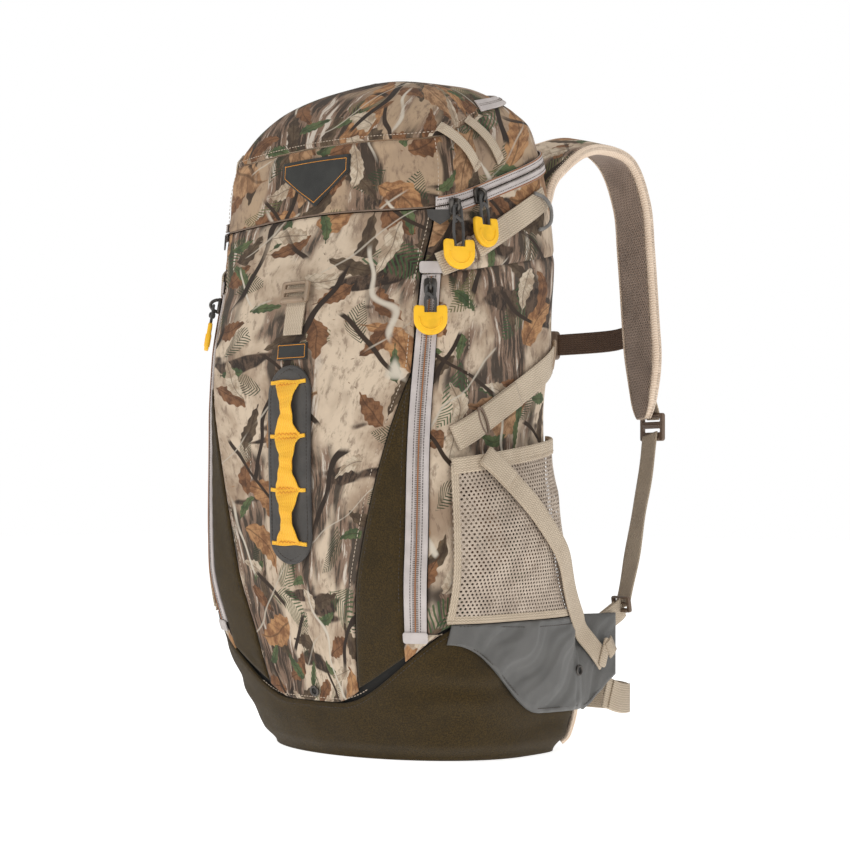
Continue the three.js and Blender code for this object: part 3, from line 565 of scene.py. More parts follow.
def needles(look, at, scale, seed):
    """A sprig of needles in some cells, its needles swept along the stem."""
    along, across, own = scattered(look, at, scale, seed)
    side = (across + along * along * 0.6).over("ABSOLUTE")
    q = along * 2.3
    spray = (1.0 - q * q).over("MAXIMUM", 0.0) * 0.17
    comb = (along * 105.0 - side * 130.0 + own.part(2) * 5.0).over("SINE").step(0.05, 0.5)
    return (spray - side).step(0.0, 0.02) * comb, own.part(0)


def camouflage(name, shade_and_leaves=0.0):
    """A generic woodland print: ground, bark, twigs, needles and leaves; the second argument
    darkens the pale ground as painted shade and adds more leaves.
    """
    look = Look(name, 0.92, sheen=0.05)
    at = look.lay * 0.001
    drift = look.noise(at, 14.0, 2.0, out=1)
    flow = at + (drift - (0.5, 0.5, 0.5)) * 0.03
    # The pale ground, darkened by the second argument: painted shade on the lid's cloth.
    pale = tone(210 - 34 * shade_and_leaves, 191 - 40 * shade_and_leaves, 168 - 44 * shade_and_leaves)
    earth = look.noise(flow, 15.0, 5.0, 0.6).step(0.42, 0.64)
    ground = look.blend(pale, tone(158, 135, 113), earth)
    fine = look.noise(flow * (2.2, 1.0, 1.0), 85.0, 5.0, 0.7)
    ground = look.blend(ground, tone(112, 90, 74), fine.step(0.50, 0.66) * 0.6)
    bark = look.noise(flow * (6.5, 0.8, 1.0), 17.0, 6.0, 0.7)
    broad = look.noise(flow * (1.5, 0.7, 1.0), 9.5, 3.0).step(0.47, 0.53)
    trunk = look.blend(tone(126, 101, 84), tone(40, 31, 25), bark.step(0.47, 0.54))
    trunk = look.blend(trunk, tone(218, 208, 194), bark.step(0.44, 0.38) * 0.85)
    ground = look.blend(ground, trunk, broad * 0.92)
    bough = look.noise(flow * (0.8, 2.6, 1.0) + (0.31, 0.7, 0.0), 8.0, 3.0).step(0.585, 0.61)
    wood = look.blend(tone(92, 74, 60), tone(44, 35, 29), fine.step(0.40, 0.58))
    ground = look.blend(ground, wood, bough)
    for seed, (scale, much, shade) in enumerate((
            (15.0, 0.40, tone(58, 82, 50)), (21.0, 0.30, tone(44, 60, 38)),
            (18.0, 0.25, tone(96, 96, 60)))):
        mask, own = needles(look, flow + (0.013 * seed, 0.021, 0.0), scale, seed + 11)
        ground = look.blend(ground, shade, mask * own.step(1.0 - much, 1.001 - much) * 0.9)
    for seed, (shade, light, scale, much, lengthy, wide) in enumerate((
            (tone(66, 53, 41), tone(96, 80, 62), 22.0, 0.42 + 0.2 * shade_and_leaves, 0.46, 0.14),
            (tone(128, 88, 58), tone(178, 134, 92), 17.0, 0.26 + 0.34 * shade_and_leaves, 0.46, 0.19),
            (tone(92, 62, 42), tone(134, 94, 64), 24.0, 0.34 + 0.3 * shade_and_leaves, 0.44, 0.17),
            (tone(132, 98, 70), tone(178, 140, 104), 13.0, 0.26, 0.46, 0.20),
            (tone(60, 76, 50), tone(92, 104, 68), 30.0, 0.28, 0.45, 0.13),
            (tone(204, 188, 166), tone(160, 140, 118), 25.0, 0.26, 0.46, 0.17))):
        mask, rib, pick = leaves(look, flow, scale, seed + 1, lengthy, wide)
        mask = mask * pick.step(1.0 - much, 1.001 - much)
        mottle = look.noise(flow, 110.0, 4.0, 0.65).step(0.38, 0.62)
        ground = look.blend(ground, look.blend(shade, light, mottle), mask)
        ground = look.blend(ground, tone(56, 38, 26), rib * mask * 0.55)
    for seed, (shade, slant, thin) in enumerate((
            (tone(206, 196, 180), 0.35, 0.991), (tone(46, 36, 29), -0.5, 0.975),
            (tone(52, 40, 31), 1.1, 0.982), (tone(192, 182, 166), -1.4, 0.993))):
        bent = look.noise(at + (seed * 0.37, 0.1, 0.0), 8.0, 2.0, 0.5) * 2.6
        twig = ((at.part(0) + at.part(1) * slant) * 62.0 + bent * 3.0).over("SINE")
        gap = look.noise(flow + (0.2, seed * 0.61, 0.0), 14.0, 1.0).step(0.50, 0.55)
        ground = look.blend(ground, shade, twig.step(thin, thin + 0.010) * gap)
    thread = (look.lay.part(0) * 9.0).over("SINE") * (look.lay.part(1) * 9.0).over("SINE")
    look.set("Base Color", look.blend(ground, tone(96, 80, 68), fine.step(0.2, 0.9) * 0.12))
    look.bump(thread * 0.3 + look.noise(at, 700.0, 2.0), 0.35, 0.25)
    return look.material


def fleece(name, dark, light):
    """Napped cloth with a fine wool grain and worn patches."""
    look = Look(name, 1.0, sheen=0.08)
    wool = look.noise(look.place, 900.0, 4.0, 0.7)
    patchy = look.noise(look.place, 45.0, 3.0)
    colour = look.blend(dark, light, wool.step(0.35, 0.7))
    look.set("Base Color", look.blend(colour, dark, patchy.step(0.45, 0.75) * 0.5))
    look.bump(wool + patchy * 0.4, 0.8, 0.7)
    return look.material


def woven(name, dark, light, pitch=0.9, roughness=0.85, diagonal=0.0, wear=0.5):
    """Plain or diagonal cloth with its threads `pitch` millimetres apart."""
    look = Look(name, roughness, sheen=0.1)
    x, y = look.lay.part(0), look.lay.part(1)
    turn = 6.283 / pitch
    warp = ((x + y * diagonal) * turn).over("SINE")
    weft = ((y - x * diagonal) * turn).over("SINE")
    threads = (warp * weft) * 0.5 + 0.5
    cloud = look.noise(look.place, 60.0, 4.0).step(0.3, 0.7)
    colour = look.blend(dark, light, threads * (1 - wear) + cloud * wear)
    look.set("Base Color", colour)
    look.bump(threads + look.noise(look.place, 1500.0, 1.0) * 0.5, 0.5, 0.22)
    return look.material


def webbing(name, dark, light, rib=1.9):
    """Narrow webbing: chevron ribs across it in columns."""
    look = Look(name, 0.75, sheen=0.1)
    x, y = look.lay.part(0), look.lay.part(1)
    column = (x * (6.283 / 3.1)).over("SINE")
    ribs = ((y + column * 0.35) * (6.283 / rib)).over("SINE") * 0.5 + 0.5
    fine = look.noise(look.place, 1200.0, 2.0)
    cloud = look.noise(look.place, 35.0, 3.0).step(0.3, 0.75)
    shade = ribs * 0.55 + fine * 0.3 + cloud * 0.25
    look.set("Base Color", look.blend(dark, light, shade))
    look.bump(ribs + (column * 0.5 + 0.5) * 0.4 + fine * 0.4, 0.75, 0.4)
    return look.material


def spacer(name, dark, light, hole=2.6):
    """3-D mesh cloth: small staggered holes between soft threads, the holes painted near-black as
    painted shade of their depth.
    """
    look = Look(name, 0.95, sheen=0.2)
    x, y = look.lay.part(0), look.lay.part(1)
    turn = 6.283 / hole
    a = ((x + y * 0.58) * turn).over("SINE")
    b = ((x - y * 0.58) * turn).over("SINE")
    holes = (a + b).step(0.35, 1.35)
    fibre = look.noise(look.place, 1400.0, 2.0)
    cloud = look.noise(look.place, 40.0, 2.0)
    # The holes are painted near-black: painted shade standing in for their depth.
    look.set("Base Color", look.blend(look.blend(light, dark, cloud.step(0.35, 0.8) * 0.5),
                                      tuple(c * 0.3 for c in dark), holes * 0.85))
    look.bump((1 - holes) + fibre * 0.4, 0.9, 0.6)
    return look.material


def moulded(name, colour, roughness=0.45, metallic=0.0, grain=0.25):
    """Moulded plastic, rubber, thread or metal: a clouded colour under a fine grain."""
    look = Look(name, roughness, metallic)
    look.set("Specular IOR Level", 0.45)
    speck = look.noise(look.place, 900.0, 3.0)
    cloud = look.noise(look.place, 70.0, 3.0)
    dark = tuple(c * 0.8 for c in colour)
    look.set("Base Color", look.blend(dark, colour, cloud.step(0.25, 0.6)))
    look.set("Roughness", cloud * 0.2 + (roughness - 0.08))
    look.bump(speck + cloud, grain, 0.12)
    return look.material


camo = camouflage("woodland_cloth")
# The lid's cloth: the same print with painted shade darkening its ground, and more leaves.
lid_camo = camouflage("woodland_lid_cloth", 1.0)
olive = fleece("olive_fleece", tone(42, 31, 7), tone(71, 54, 18))
nylon = woven("grey_nylon", tone(78, 78, 76), tone(108, 106, 103), 0.8, 0.45, wear=0.25)
lining = woven("dark_lining", tone(30, 29, 27), tone(48, 46, 43), 0.8, 0.8)
board = moulded("frame_plastic", tone(58, 60, 62), 0.4)
tape = woven("zip_tape", tone(178, 169, 166), tone(212, 203, 199), 0.75, 0.8, 0.6)
tan_web = webbing("tan_webbing", tone(156, 138, 116), tone(214, 197, 174))
brown_web = webbing("brown_webbing", tone(62, 43, 30), tone(104, 78, 58))
orange_web = webbing("orange_webbing", tone(240, 160, 20), tone(255, 206, 66))
binding = webbing("ribbed_binding", tone(218, 190, 164), tone(252, 232, 210), 2.2)
pocket_net = woven("pocket_net", tone(158, 142, 127), tone(208, 192, 175), 0.6)
strap_mesh = spacer("strap_mesh", tone(104, 86, 73), tone(170, 147, 130))
pad_mesh = spacer("back_mesh", tone(84, 74, 66), tone(142, 126, 112), 3.0)
tan_plastic = moulded("tan_plastic", tone(158, 136, 114), 0.42)
dark_tan = moulded("brown_plastic", tone(118, 98, 82), 0.4)
charcoal = woven("charcoal_panel", tone(60, 58, 56), tone(84, 81, 78), 0.8, 0.7)
black_cloth = woven("black_patch", tone(38, 38, 37), tone(58, 58, 55), 0.9, 0.85)
rubber = moulded("orange_rubber", tone(255, 196, 34), 0.5, grain=0.5)
dark_metal = moulded("dark_metal", tone(92, 88, 84), 0.3, 0.9)
cord_grey = woven("grey_cord", tone(92, 90, 88), tone(150, 146, 141), 1.1, 0.8, 1.0)
cord_dark = woven("dark_cord", tone(56, 54, 53), tone(92, 90, 88), 0.9, 0.8, 1.0)
thread_pale = moulded("pale_thread", tone(196, 178, 158), 0.8)
thread_dark = moulded("dark_thread", tone(66, 58, 52), 0.8)
thread_orange = moulded("orange_thread", tone(228, 150, 48), 0.7)
chain = moulded("zip_chain", tone(112, 100, 92), 0.5)
rust_line = moulded("rust_line", tone(156, 104, 66), 0.8)


# ------------------------------------------------------------------ repeats along seams
STITCH_SEED = 5


def repeater(name, material):
    """A node group that sets a piece along lines, facing the lines' own `out` direction."""
    group = bpy.data.node_groups.new(name, "GeometryNodeTree")
    face = group.interface
    for label, kind in (("Lines", "NodeSocketGeometry"), ("Gap", "NodeSocketFloat"),
                        ("Piece", "NodeSocketObject"), ("Seed", "NodeSocketInt")):
        face.new_socket(label, in_out="INPUT", socket_type=kind)
    face.new_socket("Pieces", in_out="OUTPUT", socket_type="NodeSocketGeometry")
    new, link = group.nodes.new, group.links.new
    start, end = new("NodeGroupInput"), new("NodeGroupOutput")
    curve = new("GeometryNodeMeshToCurve")
    spread = new("GeometryNodeResampleCurve")
    spread.mode = "LENGTH"
    out = new("GeometryNodeInputNamedAttribute")
    out.data_type = "FLOAT_VECTOR"
    out.inputs["Name"].default_value = "out"
    tangent = new("GeometryNodeInputTangent")
    axes = new("FunctionNodeAxesToRotation")
    axes.primary_axis, axes.secondary_axis = "Z", "X"
    chance = new("FunctionNodeRandomValue")
    chance.data_type = "FLOAT"
    chance.inputs[2].default_value = 0.9
    chance.inputs[3].default_value = 1.1
    thing = new("GeometryNodeObjectInfo")
    place = new("GeometryNodeInstanceOnPoints")
    real = new("GeometryNodeRealizeInstances")
    paint = new("GeometryNodeSetMaterial")
    paint.inputs["Material"].default_value = material
    link(start.outputs["Lines"], curve.inputs[0])
    link(curve.outputs[0], spread.inputs["Curve"])
    link(start.outputs["Gap"], spread.inputs["Length"])
    link(spread.outputs[0], place.inputs["Points"])
    link(start.outputs["Piece"], thing.inputs["Object"])
    link(thing.outputs["Geometry"], place.inputs["Instance"])
    link(out.outputs[0], axes.inputs[0])
    link(tangent.outputs[0], axes.inputs[1])
    link(axes.outputs[0], place.inputs["Rotation"])
    link(start.outputs["Seed"], chance.inputs["Seed"])
    link(chance.outputs[1], place.inputs["Scale"])
    link(place.outputs[0], real.inputs[0])
    link(real.outputs[0], paint.inputs["Geometry"])
    link(paint.outputs[0], end.inputs[0])
    return group


def along_lines(name, lines, gap, item, material, body):
    """Set a piece every `gap` millimetres along [(points, out directions)] lines on one body."""
    data = bpy.data.meshes.new(name)
    points = np.concatenate([np.asarray(p) for p, _ in lines])
    out = np.concatenate([np.broadcast_to(np.asarray(o, float), np.shape(p)) for p, o in lines])
    edges, first = [], 0
    for p, _ in lines:
        edges += [(first + i, first + i + 1) for i in range(len(p) - 1)]
        first += len(p)
    data.from_pydata((points * MM).tolist(), edges, [])
    facing = data.attributes.new("out", "FLOAT_VECTOR", "POINT")
    facing.data.foreach_set("vector", out.ravel())
    made = bpy.data.objects.new(name, data)
    scene.collection.objects.link(made)
    group = repeater(name + "_set_out", material)
    modifier = made.modifiers.new("set_out", "NODES")
    modifier.node_group = group
    names = {s.name: s.identifier for s in group.interface.items_tree
             if s.item_type == "SOCKET" and s.in_out == "INPUT"}
    modifier[names["Gap"]] = gap * MM
    modifier[names["Piece"]] = item
    modifier[names["Seed"]] = STITCH_SEED
    view = bpy.context.evaluated_depsgraph_get()
    view.update()
    solid = bpy.data.meshes.new_from_object(made.evaluated_get(view))
    made.modifiers.remove(modifier)
    made.data = solid
    solid.materials.clear()
    solid.materials.append(material)
    solid.polygons.foreach_set("use_smooth", [True] * len(solid.polygons))
    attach(made, body)
    return made


def bead(name, size):
    """A small rounded piece of a length, width and height in millimetres, to be set out in rows."""
    mesh = Mesh()
    rings, sides = 4, 6
    a = np.linspace(0, np.pi, rings + 1)[1:-1]
    b = np.linspace(0, 2 * np.pi, sides, endpoint=False)
    half = np.array(size) / 2
    body = np.stack([np.cos(a)[:, None] + 0 * b, np.sin(a)[:, None] * np.cos(b),
                     np.sin(a)[:, None] * np.sin(b)], -1).reshape(-1, 3) * half
    ends = np.array([[half[0], 0, 0], [-half[0], 0, 0]])
    n = len(a) * sides
    faces = [f[::-1] for f in grid_faces(len(a), sides, wrap=True)]
    faces += [(n, (j + 1) % sides, j)[::-1] for j in range(sides)]
    faces += [(n + 1, n - sides + j, n - sides + (j + 1) % sides)[::-1] for j in range(sides)]
    mesh.add(np.concatenate([body, ends]), faces)
    made = mesh.object(name, flip=True)
    made.hide_render = True
    return made


# ------------------------------------------------------------------ sewn panels
PUCKER = 0.35
PANEL_THICK = 1.8


def sewn(base, out, folds=0.9, size=70.0, seed=1, dip=1.1):
    """Lay soft folds, sunken edges and puckers on a grid of points; gives the outer face."""
    rows, columns = base.shape[:2]
    du = np.linalg.norm(np.diff(base, axis=1), axis=-1).mean()
    dv = np.linalg.norm(np.diff(base, axis=0), axis=-1).mean()
    i, j = np.meshgrid(np.arange(rows), np.arange(columns), indexing="ij")
    du_edge, dv_edge = np.minimum(j, columns - 1 - j) * du, np.minimum(i, rows - 1 - i) * dv
    edge = np.minimum(du_edge, dv_edge)
    run = np.where(du_edge < dv_edge, i * dv, j * du)
    lift = folds * (rumple(base, size, seed) - 1) * smooth(edge / 14)
    lift -= dip * (1 - smooth(edge / 3.5))
    lift += PUCKER * np.sin(run / 2.3 + 2 * np.sin(run / 17)) * np.exp(-edge / 5) * smooth(edge / 2)
    return base + out * lift[..., None]


def panel(name, nodes, place, rows, columns, material, pair=False, inner=None, groove=None,
          offset=(0.0, 0.0), **look):
    """A cloth panel: place(s, t) gives its turn and ring; it replaces the nodes it stands for."""
    t, s = np.meshgrid(np.linspace(0, 1, rows), np.linspace(0, 1, columns), indexing="ij")
    turn, v = place(s, t)
    base, out = on_skin(turn, v), normal_at(turn, v)
    face = sewn(base, out, **look)
    if groove is not None:
        face = face + out * groove(turn, v)[..., None]
    mesh = Mesh()
    depth = PANEL_THICK + look.get("folds", 0.9) * 0.3
    shell(mesh, face, base - out * depth, 1 if inner else 0)
    mesh.spots[-1] = mesh.spots[-1][:, ::-1] + np.array(offset)
    finish_pair(mesh, name, "pack", nodes, pair, material, *([inner] if inner else []))


def finish_pair(mesh, name, body, nodes, pair, *materials, **how):
    """Turn a mesh into its object, and its mirror image on the left for a pair."""
    made = []
    for side, sign in (("right", 1), ("left", -1)) if pair else (("", 1),):
        solid = mesh if sign == 1 else mirrored(mesh)
        obj = solid.object(name + ("_" + side if pair else "") + "_cloth", *materials, **how)
        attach(obj, body + ("_" + side if pair and body != "pack" and body != "lid" else ""))
        if nodes:
            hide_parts(*[n + ("_" + side if pair else "") for n in nodes])
        made.append(obj)
    return made


def front_place(s, t):
    side = 2 * s - 1
    bottom = boot_top(side * 25) + 0.7
    v = mix(bottom, HEIGHT - 0.5, t)
    edge = np.where(v < WEDGE_TOP + 3, wedge_turn(v), zip_turn(v) - 0.5)
    return side * edge, v


def wedge_place(s, t):
    v = mix(boot_top(mix(27, 42, s)) + 0.5, WEDGE_TOP, t)
    return mix(wedge_turn(v) + 0.4, zip_turn(v) - 0.1, s), v


def side_upper(s, t):
    v = mix(ZIP_BOTTOM - 0.5, ZIP_TOP + 0.6, t)
    turn = mix(zip_turn(v) + ZIP_TURN + 0.35, BACK_TURN, s)
    return turn, np.maximum(v, boot_top(turn) + 2.5 + v * 0.01)


def side_above(s, t):
    v = mix(ZIP_TOP + 0.6, HEIGHT - 0.5, t)
    return mix(zip_turn(v) + 0.35, BACK_TURN, s), v


def strip_seam(turn, v):
    """The sunken join between the side's narrow front strip and the rest of it."""
    near = np.abs(turn - (zip_turn(v) + ZIP_TURN + 15.5 - 0.012 * (v - 230))) * 2.3
    return -1.1 * np.exp(-(near / 1.6) ** 2) + 0.4 * np.exp(-((near - 4) / 2.4) ** 2)


panel("front_camo", ["front_panel"], front_place, 170, 96, camo, inner=lining,
      folds=0.9, size=80, seed=3)
panel("front_wedge", ["side_wedge"], wedge_place, 96, 18, olive, pair=True, folds=0.4,
      size=60, seed=4, dip=0.9)
panel("side_camo", ["side_panel"], side_upper, 120, 84, camo, pair=True, inner=lining,
      folds=0.9, size=70, seed=5, groove=strip_seam, offset=(400.0, 90.0))
for word, start, end, rows, columns, seed, across in (
        ("foot", 39.6, 54.0, 12, 20, 9, 500.0), ("rear", 114.0, BACK_TURN, 16, 26, 10, 560.0)):
    def below_side(s, t):
        turn = mix(start, end, s)
        return turn, mix(boot_top(turn) + 1.5, ZIP_BOTTOM - 0.6, t)

    panel(f"side_{word}_camo", None, below_side, rows, columns, camo, pair=True, folds=0.2,
          size=40, seed=seed, dip=0.6, offset=(across, 20.0))
panel("side_top_camo", None, side_above, 24, 92, camo, pair=True, inner=lining,
      folds=0.4, size=60, seed=6, offset=(700.0, 300.0))
panel("yoke_camo", ["yoke_panel"], lambda s, t: (mix(138.4, 221.6, s), mix(372.5, 419.5, t)),
      26, 90, camo, folds=0.6, size=60, seed=8, offset=(900.0, 40.0))


CROWN_LAY = np.array([1750.0, 260.0])


def wrapped_panel(name, body, nodes, lift, low, high, rows, columns, pole, materials, offset=(0, 0),
                  crown=None):
    """A panel right round the bag, closed at a pole: one given below it, or its own top."""
    t, s = np.meshgrid(np.linspace(0, 1, rows), np.arange(columns) / columns, indexing="ij")
    turn = 360 * s
    v = mix(low(turn), high(turn), t)
    base, out = on_skin(turn, v), normal_at(turn, v)
    outer = base + out * lift(base, turn, v, t)[..., None]
    inner = base - out * (PANEL_THICK + 1.2)
    n = rows * columns
    at_foot = pole is not None
    ring_row = 0 if at_foot else rows - 1
    tips = np.array([pole, (pole[0], pole[1], pole[2] + PANEL_THICK)] if at_foot
                    else [outer[-1].mean(0), inner[-1].mean(0)])
    girth = np.cumsum(np.linalg.norm(np.diff(base[rows // 2], axis=0), axis=-1))
    round_way = np.roll(np.r_[0, girth], columns // 2)
    flat = np.stack([np.broadcast_to(round_way[None], (rows, columns)), spots_of(base)[..., 0]], -1)
    flat = flat + np.array(offset)
    if crown:
        steps = np.linalg.norm(np.diff(base, axis=0), axis=-1)
        from_pole = np.cumsum(np.concatenate([np.zeros((1, columns)), steps[::-1]]), axis=0)[::-1]
        angle = np.radians(turn)
        top = np.stack([from_pole * np.sin(angle), -from_pole * np.cos(angle)], -1) + CROWN_LAY
        flat = np.where((v > crown(turn))[..., None], top, flat)
    faces = grid_faces(rows, columns, wrap=True)
    back = [tuple(i + n for i in f[::-1]) for f in faces]
    edge_row = rows - 1 if at_foot else 0
    edge = []
    for j in range(columns):
        k = (j + 1) % columns
        a, b = edge_row * columns + j, edge_row * columns + k
        quad = (a, b, b + n, a + n)
        edge.append(quad if at_foot else quad[::-1])
        a, b = ring_row * columns + j, ring_row * columns + k
        cap = (b, a, 2 * n) if at_foot else (a, b, 2 * n)
        faces.append(cap)
        back.append(tuple({2 * n: 2 * n + 1}.get(i, i + n) for i in cap[::-1]))
    mesh = Mesh()
    spots = np.concatenate([flat.reshape(-1, 2)] * 2 + [np.zeros((2, 2)) + CROWN_LAY])
    mesh.add(np.concatenate([outer.reshape(-1, 3), inner.reshape(-1, 3), tips]), [], spots=spots)
    for group, which in ((faces, 0), (back, 1), (edge, 0)):
        mesh.faces += group
        mesh.slots += [which] * len(group)
    finish_pair(mesh, name, body, nodes, False, *materials)


def boot_lift(base, turn, v, t):
    sag = np.sin(base[..., 2] / 5.2 + 1.6 * rumple(base, 60, 12)) * smooth((base[..., 2] - 6) / 20)
    folds = 0.9 * (rumple(base, 42, 11, 1.6) - 1) * smooth(t * 6) * smooth((1 - t) * 6)
    side = smooth((np.abs(base[..., 0]) - 60) / 50)
    piped = np.exp(-((np.abs((turn + 180) % 360 - 180) - 128) / 1.6) ** 2)
    return folds + 1.0 * sag * side * smooth((1 - t) * 5) - 1.0 * (1 - smooth((1 - t) * 14)) - piped


wrapped_panel("boot_fleece", "pack", ["base_boot"], boot_lift, lambda a: a * 0, boot_top, 46, 200,
              (0, 40, 0), (olive, lining))

TOP_SEAM = 473.0


def crown_edge(turn):
    """Where the lid's top panel starts: at its front seam, and under the pocket zip behind."""
    a = np.abs((turn + 180) % 360 - 180)
    return np.where(a < 96, TOP_SEAM + 10 * smooth((a - 50) / 60), 488)


def lid_seams(turn, v):
    """How near a place is to the lid's sewn joins, in millimetres."""
    a = np.abs((turn + 180) % 360 - 180)
    top = TOP_SEAM + 10 * smooth((a - 50) / 60)
    round_top = np.where(a < 95, np.abs(v - top), 99)
    corner = np.where(v < top, np.abs(a - 49 - 0.02 * (v - HEIGHT)) * 2.0, 99)
    return np.minimum(round_top, corner)


def lid_lift(base, turn, v, t):
    near = lid_seams(turn, v)
    folds = 0.9 * (rumple(base, 62, 21) - 1) * smooth(t * 9)
    join = -1.2 * np.exp(-(near / 1.5) ** 2) + 0.5 * np.exp(-((near - 3.6) / 2.2) ** 2)
    ripple = 0.3 * np.sin(base[..., 0] / 2.4 + base[..., 2] / 3.1) * np.exp(-near / 6)
    return folds + join + ripple - 1.0 * (1 - smooth((v - HEIGHT) / 3.5))


wrapped_panel("lid_camo", "lid", ["lid_shell"], lid_lift, lambda a: a * 0 + HEIGHT + 0.5,
              lambda a: a * 0 + DOME_TOP - 0.6, 76, 260, None, (lid_camo, lining),
              offset=(1300.0, 0.0), crown=crown_edge)

# ------------------------------------------------------------------ seams and stitches
stitch = bead("stitch", (2.3, 0.75, 0.6))
small_stitch = bead("small_stitch", (1.9, 0.6, 0.5))
tooth = bead("tooth", (0.75, 2.6, 0.9))


def line_on(turn, v, lift):
    """Points along a line on the skin and their outward directions."""
    turn, v = np.broadcast_arrays(np.asarray(turn, float), np.asarray(v, float))
    return skin(turn, v, np.full(turn.shape, lift)), normal_at(turn, v)


def both(lines):
    """The lines and their mirror images."""
    flip = np.array([-1, 1, 1])
    return lines + [(p * flip, o * flip) for p, o in lines]


v_zip = np.linspace(ZIP_BOTTOM + 2, ZIP_TOP - 2, 90)
v_wedge = np.linspace(118, WEDGE_TOP - 6, 60)
v_upper = np.linspace(WEDGE_TOP + 6, 412, 40)
turn_boot = np.linspace(2, 100, 70)
edge_lines = both([
    line_on(zip_turn(v_upper) - 2.2, v_upper, -0.2),
    line_on(wedge_turn(v_wedge) - 1.7, v_wedge, -0.2),
    line_on(zip_turn(v_zip) + ZIP_TURN + 17.2 - 0.012 * (v_zip - 230), v_zip, -0.1),
    line_on(turn_boot * 0.24, boot_top(turn_boot * 0.24) + 3.8, -0.3)])
along_lines("panel_stitches", edge_lines, 3.1, stitch, thread_pale, "pack")
along_lines("fleece_stitches", both([line_on(wedge_turn(v_wedge) + 1.8, v_wedge, -0.3),
            line_on(zip_turn(v_wedge) - 1.4, v_wedge, -0.3),
            line_on(turn_boot, boot_top(turn_boot) - 3.4, -0.4)]), 3.1, stitch, thread_dark, "pack")
v_corner = np.linspace(HEIGHT + 10, TOP_SEAM - 3, 30)
turn_top = np.linspace(-92, 92, 120)
top_line = TOP_SEAM + 10 * smooth((np.abs(turn_top) - 50) / 60)
lid_lines = [line_on(turn_top, top_line + 3.2, 0.1)]
lid_lines += both([line_on(49 + 0.02 * (v_corner - HEIGHT) + 2.0, v_corner, 0.1)])
along_lines("lid_stitches", lid_lines, 3.1, stitch, thread_pale, "lid")

# ------------------------------------------------------------------ zips


def zip_tape(name, body, node, place, across, along, low, high, centre, pair=False):
    """A flat tape with a raised chain line at `centre`, from 0 to 1 across it."""
    t, s = np.meshgrid(np.linspace(0, 1, along), np.linspace(0, 1, across), indexing="ij")
    turn, v = place(s, t)
    base, out = on_skin(turn, v), normal_at(turn, v)
    edge = np.minimum(s, 1 - s) * 20
    ridge = 0.35 * np.exp(-(((s - centre) * 20) / 1.9) ** 2)
    lift = high - 0.45 * (1 - smooth(edge / 1.2)) + ridge - 0.35
    mesh = Mesh()
    shell(mesh, base + out * lift[..., None], base + out * low)
    mesh.spots[-1] = mesh.spots[-1][:, ::-1]
    finish_pair(mesh, name, body, [node], pair, tape)


zip_tape("side_zip", "pack", "side_zip", lambda s, t: (
    zip_turn(mix(ZIP_BOTTOM, ZIP_TOP, t)) + mix(0.25, ZIP_TURN, s), mix(ZIP_BOTTOM, ZIP_TOP, t)),
    17, 140, -1.6, 0.65, 0.5, pair=True)
zip_middle = zip_turn(v_zip) + 0.12 + ZIP_TURN / 2
along_lines("side_zip_chain", both([line_on(zip_middle - 0.55, v_zip, 0.62),
            line_on(zip_middle + 0.55, v_zip, 0.62)]), 1.45, tooth, chain, "pack")
along_lines("side_zip_rows", both([line_on(zip_middle - 1.75, v_zip, 0.45),
            line_on(zip_middle + 1.75, v_zip, 0.45)]), 2.2, small_stitch, thread_dark, "pack")
cords = Mesh()
for sign in (1, -1):
    tube(cords, line_on(zip_middle, v_zip, 0.85)[0] * np.array([sign, 1, 1]), 0.55, sides=6)
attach(cords.object("side_zip_lines", rust_line), "pack")

RIM_LOW, RIM_HIGH = 1.0, 2.3
zip_tape("rim_zip", "pack", "rim_zip_tape", lambda s, t: (
    mix(RIM_TURN, 360 - RIM_TURN, t), mix(HEIGHT - 7.3, HEIGHT - 0.5, s) + 0 * t),
    9, 200, RIM_LOW, RIM_HIGH + 0.3, 0.9)
zip_tape("lid_zip", "lid", "lid_zip_tape", lambda s, t: (
    mix(RIM_TURN, 360 - RIM_TURN, t), mix(HEIGHT + 0.5, HEIGHT + 7.3, s) + 0 * t),
    9, 200, RIM_LOW, RIM_HIGH + 0.3, 0.1)
turn_rim = np.linspace(RIM_TURN + 1, 359 - RIM_TURN, 160)
for owner, side, body in (("rim", -1, "pack"), ("lid", 1, "lid")):
    along_lines(owner + "_chain", [line_on(turn_rim, HEIGHT + side * 1.25, 2.3)], 1.45, bead(
        owner + "_tooth", (0.75, 1.6, 0.9)), chain, body)
    along_lines(owner + "_zip_rows", [line_on(turn_rim, HEIGHT + side * 4.6, 2.25)], 2.2,
                small_stitch, thread_dark, body)
    cord = Mesh()
    tube(cord, line_on(turn_rim, HEIGHT + side * 6.6, 1.9)[0], 0.6, sides=6)
    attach(cord.object(owner + "_zip_edge", rust_line), body)
zip_tape("lid_pocket_zip", "lid", "pocket_zip_tape", lambda s, t: (
    mix(98, 262, t), mix(483, 494, s) + 0 * t), 11, 130, RIM_LOW, RIM_HIGH + 0.3, 0.5)
turn_pocket = np.linspace(99, 261, 110)
pocket_lines = [line_on(turn_pocket, v, 2.3) for v in (487.9, 489.1)]
along_lines("lid_pocket_chain", pocket_lines, 1.45, bead("pocket_tooth", (0.75, 1.4, 0.9)), chain,
            "lid")


# ------------------------------------------------------------------ webbing on the cloth
def laid(name, body, run, lift, width, count, thick):
    """Webbing laid on the skin along run(t), raised by lift(t), on both sides of the bag."""
    t = np.linspace(0, 1, count)
    turn, v = run(t)
    out = normal_at(turn, v)
    path = on_skin(turn, v) + out * (lift(t) + thick / 2)[:, None]
    mesh = Mesh()
    band(mesh, path, out, width, thick)
    finish_pair(mesh, name, body, [name], True, tan_web)
    return path, out


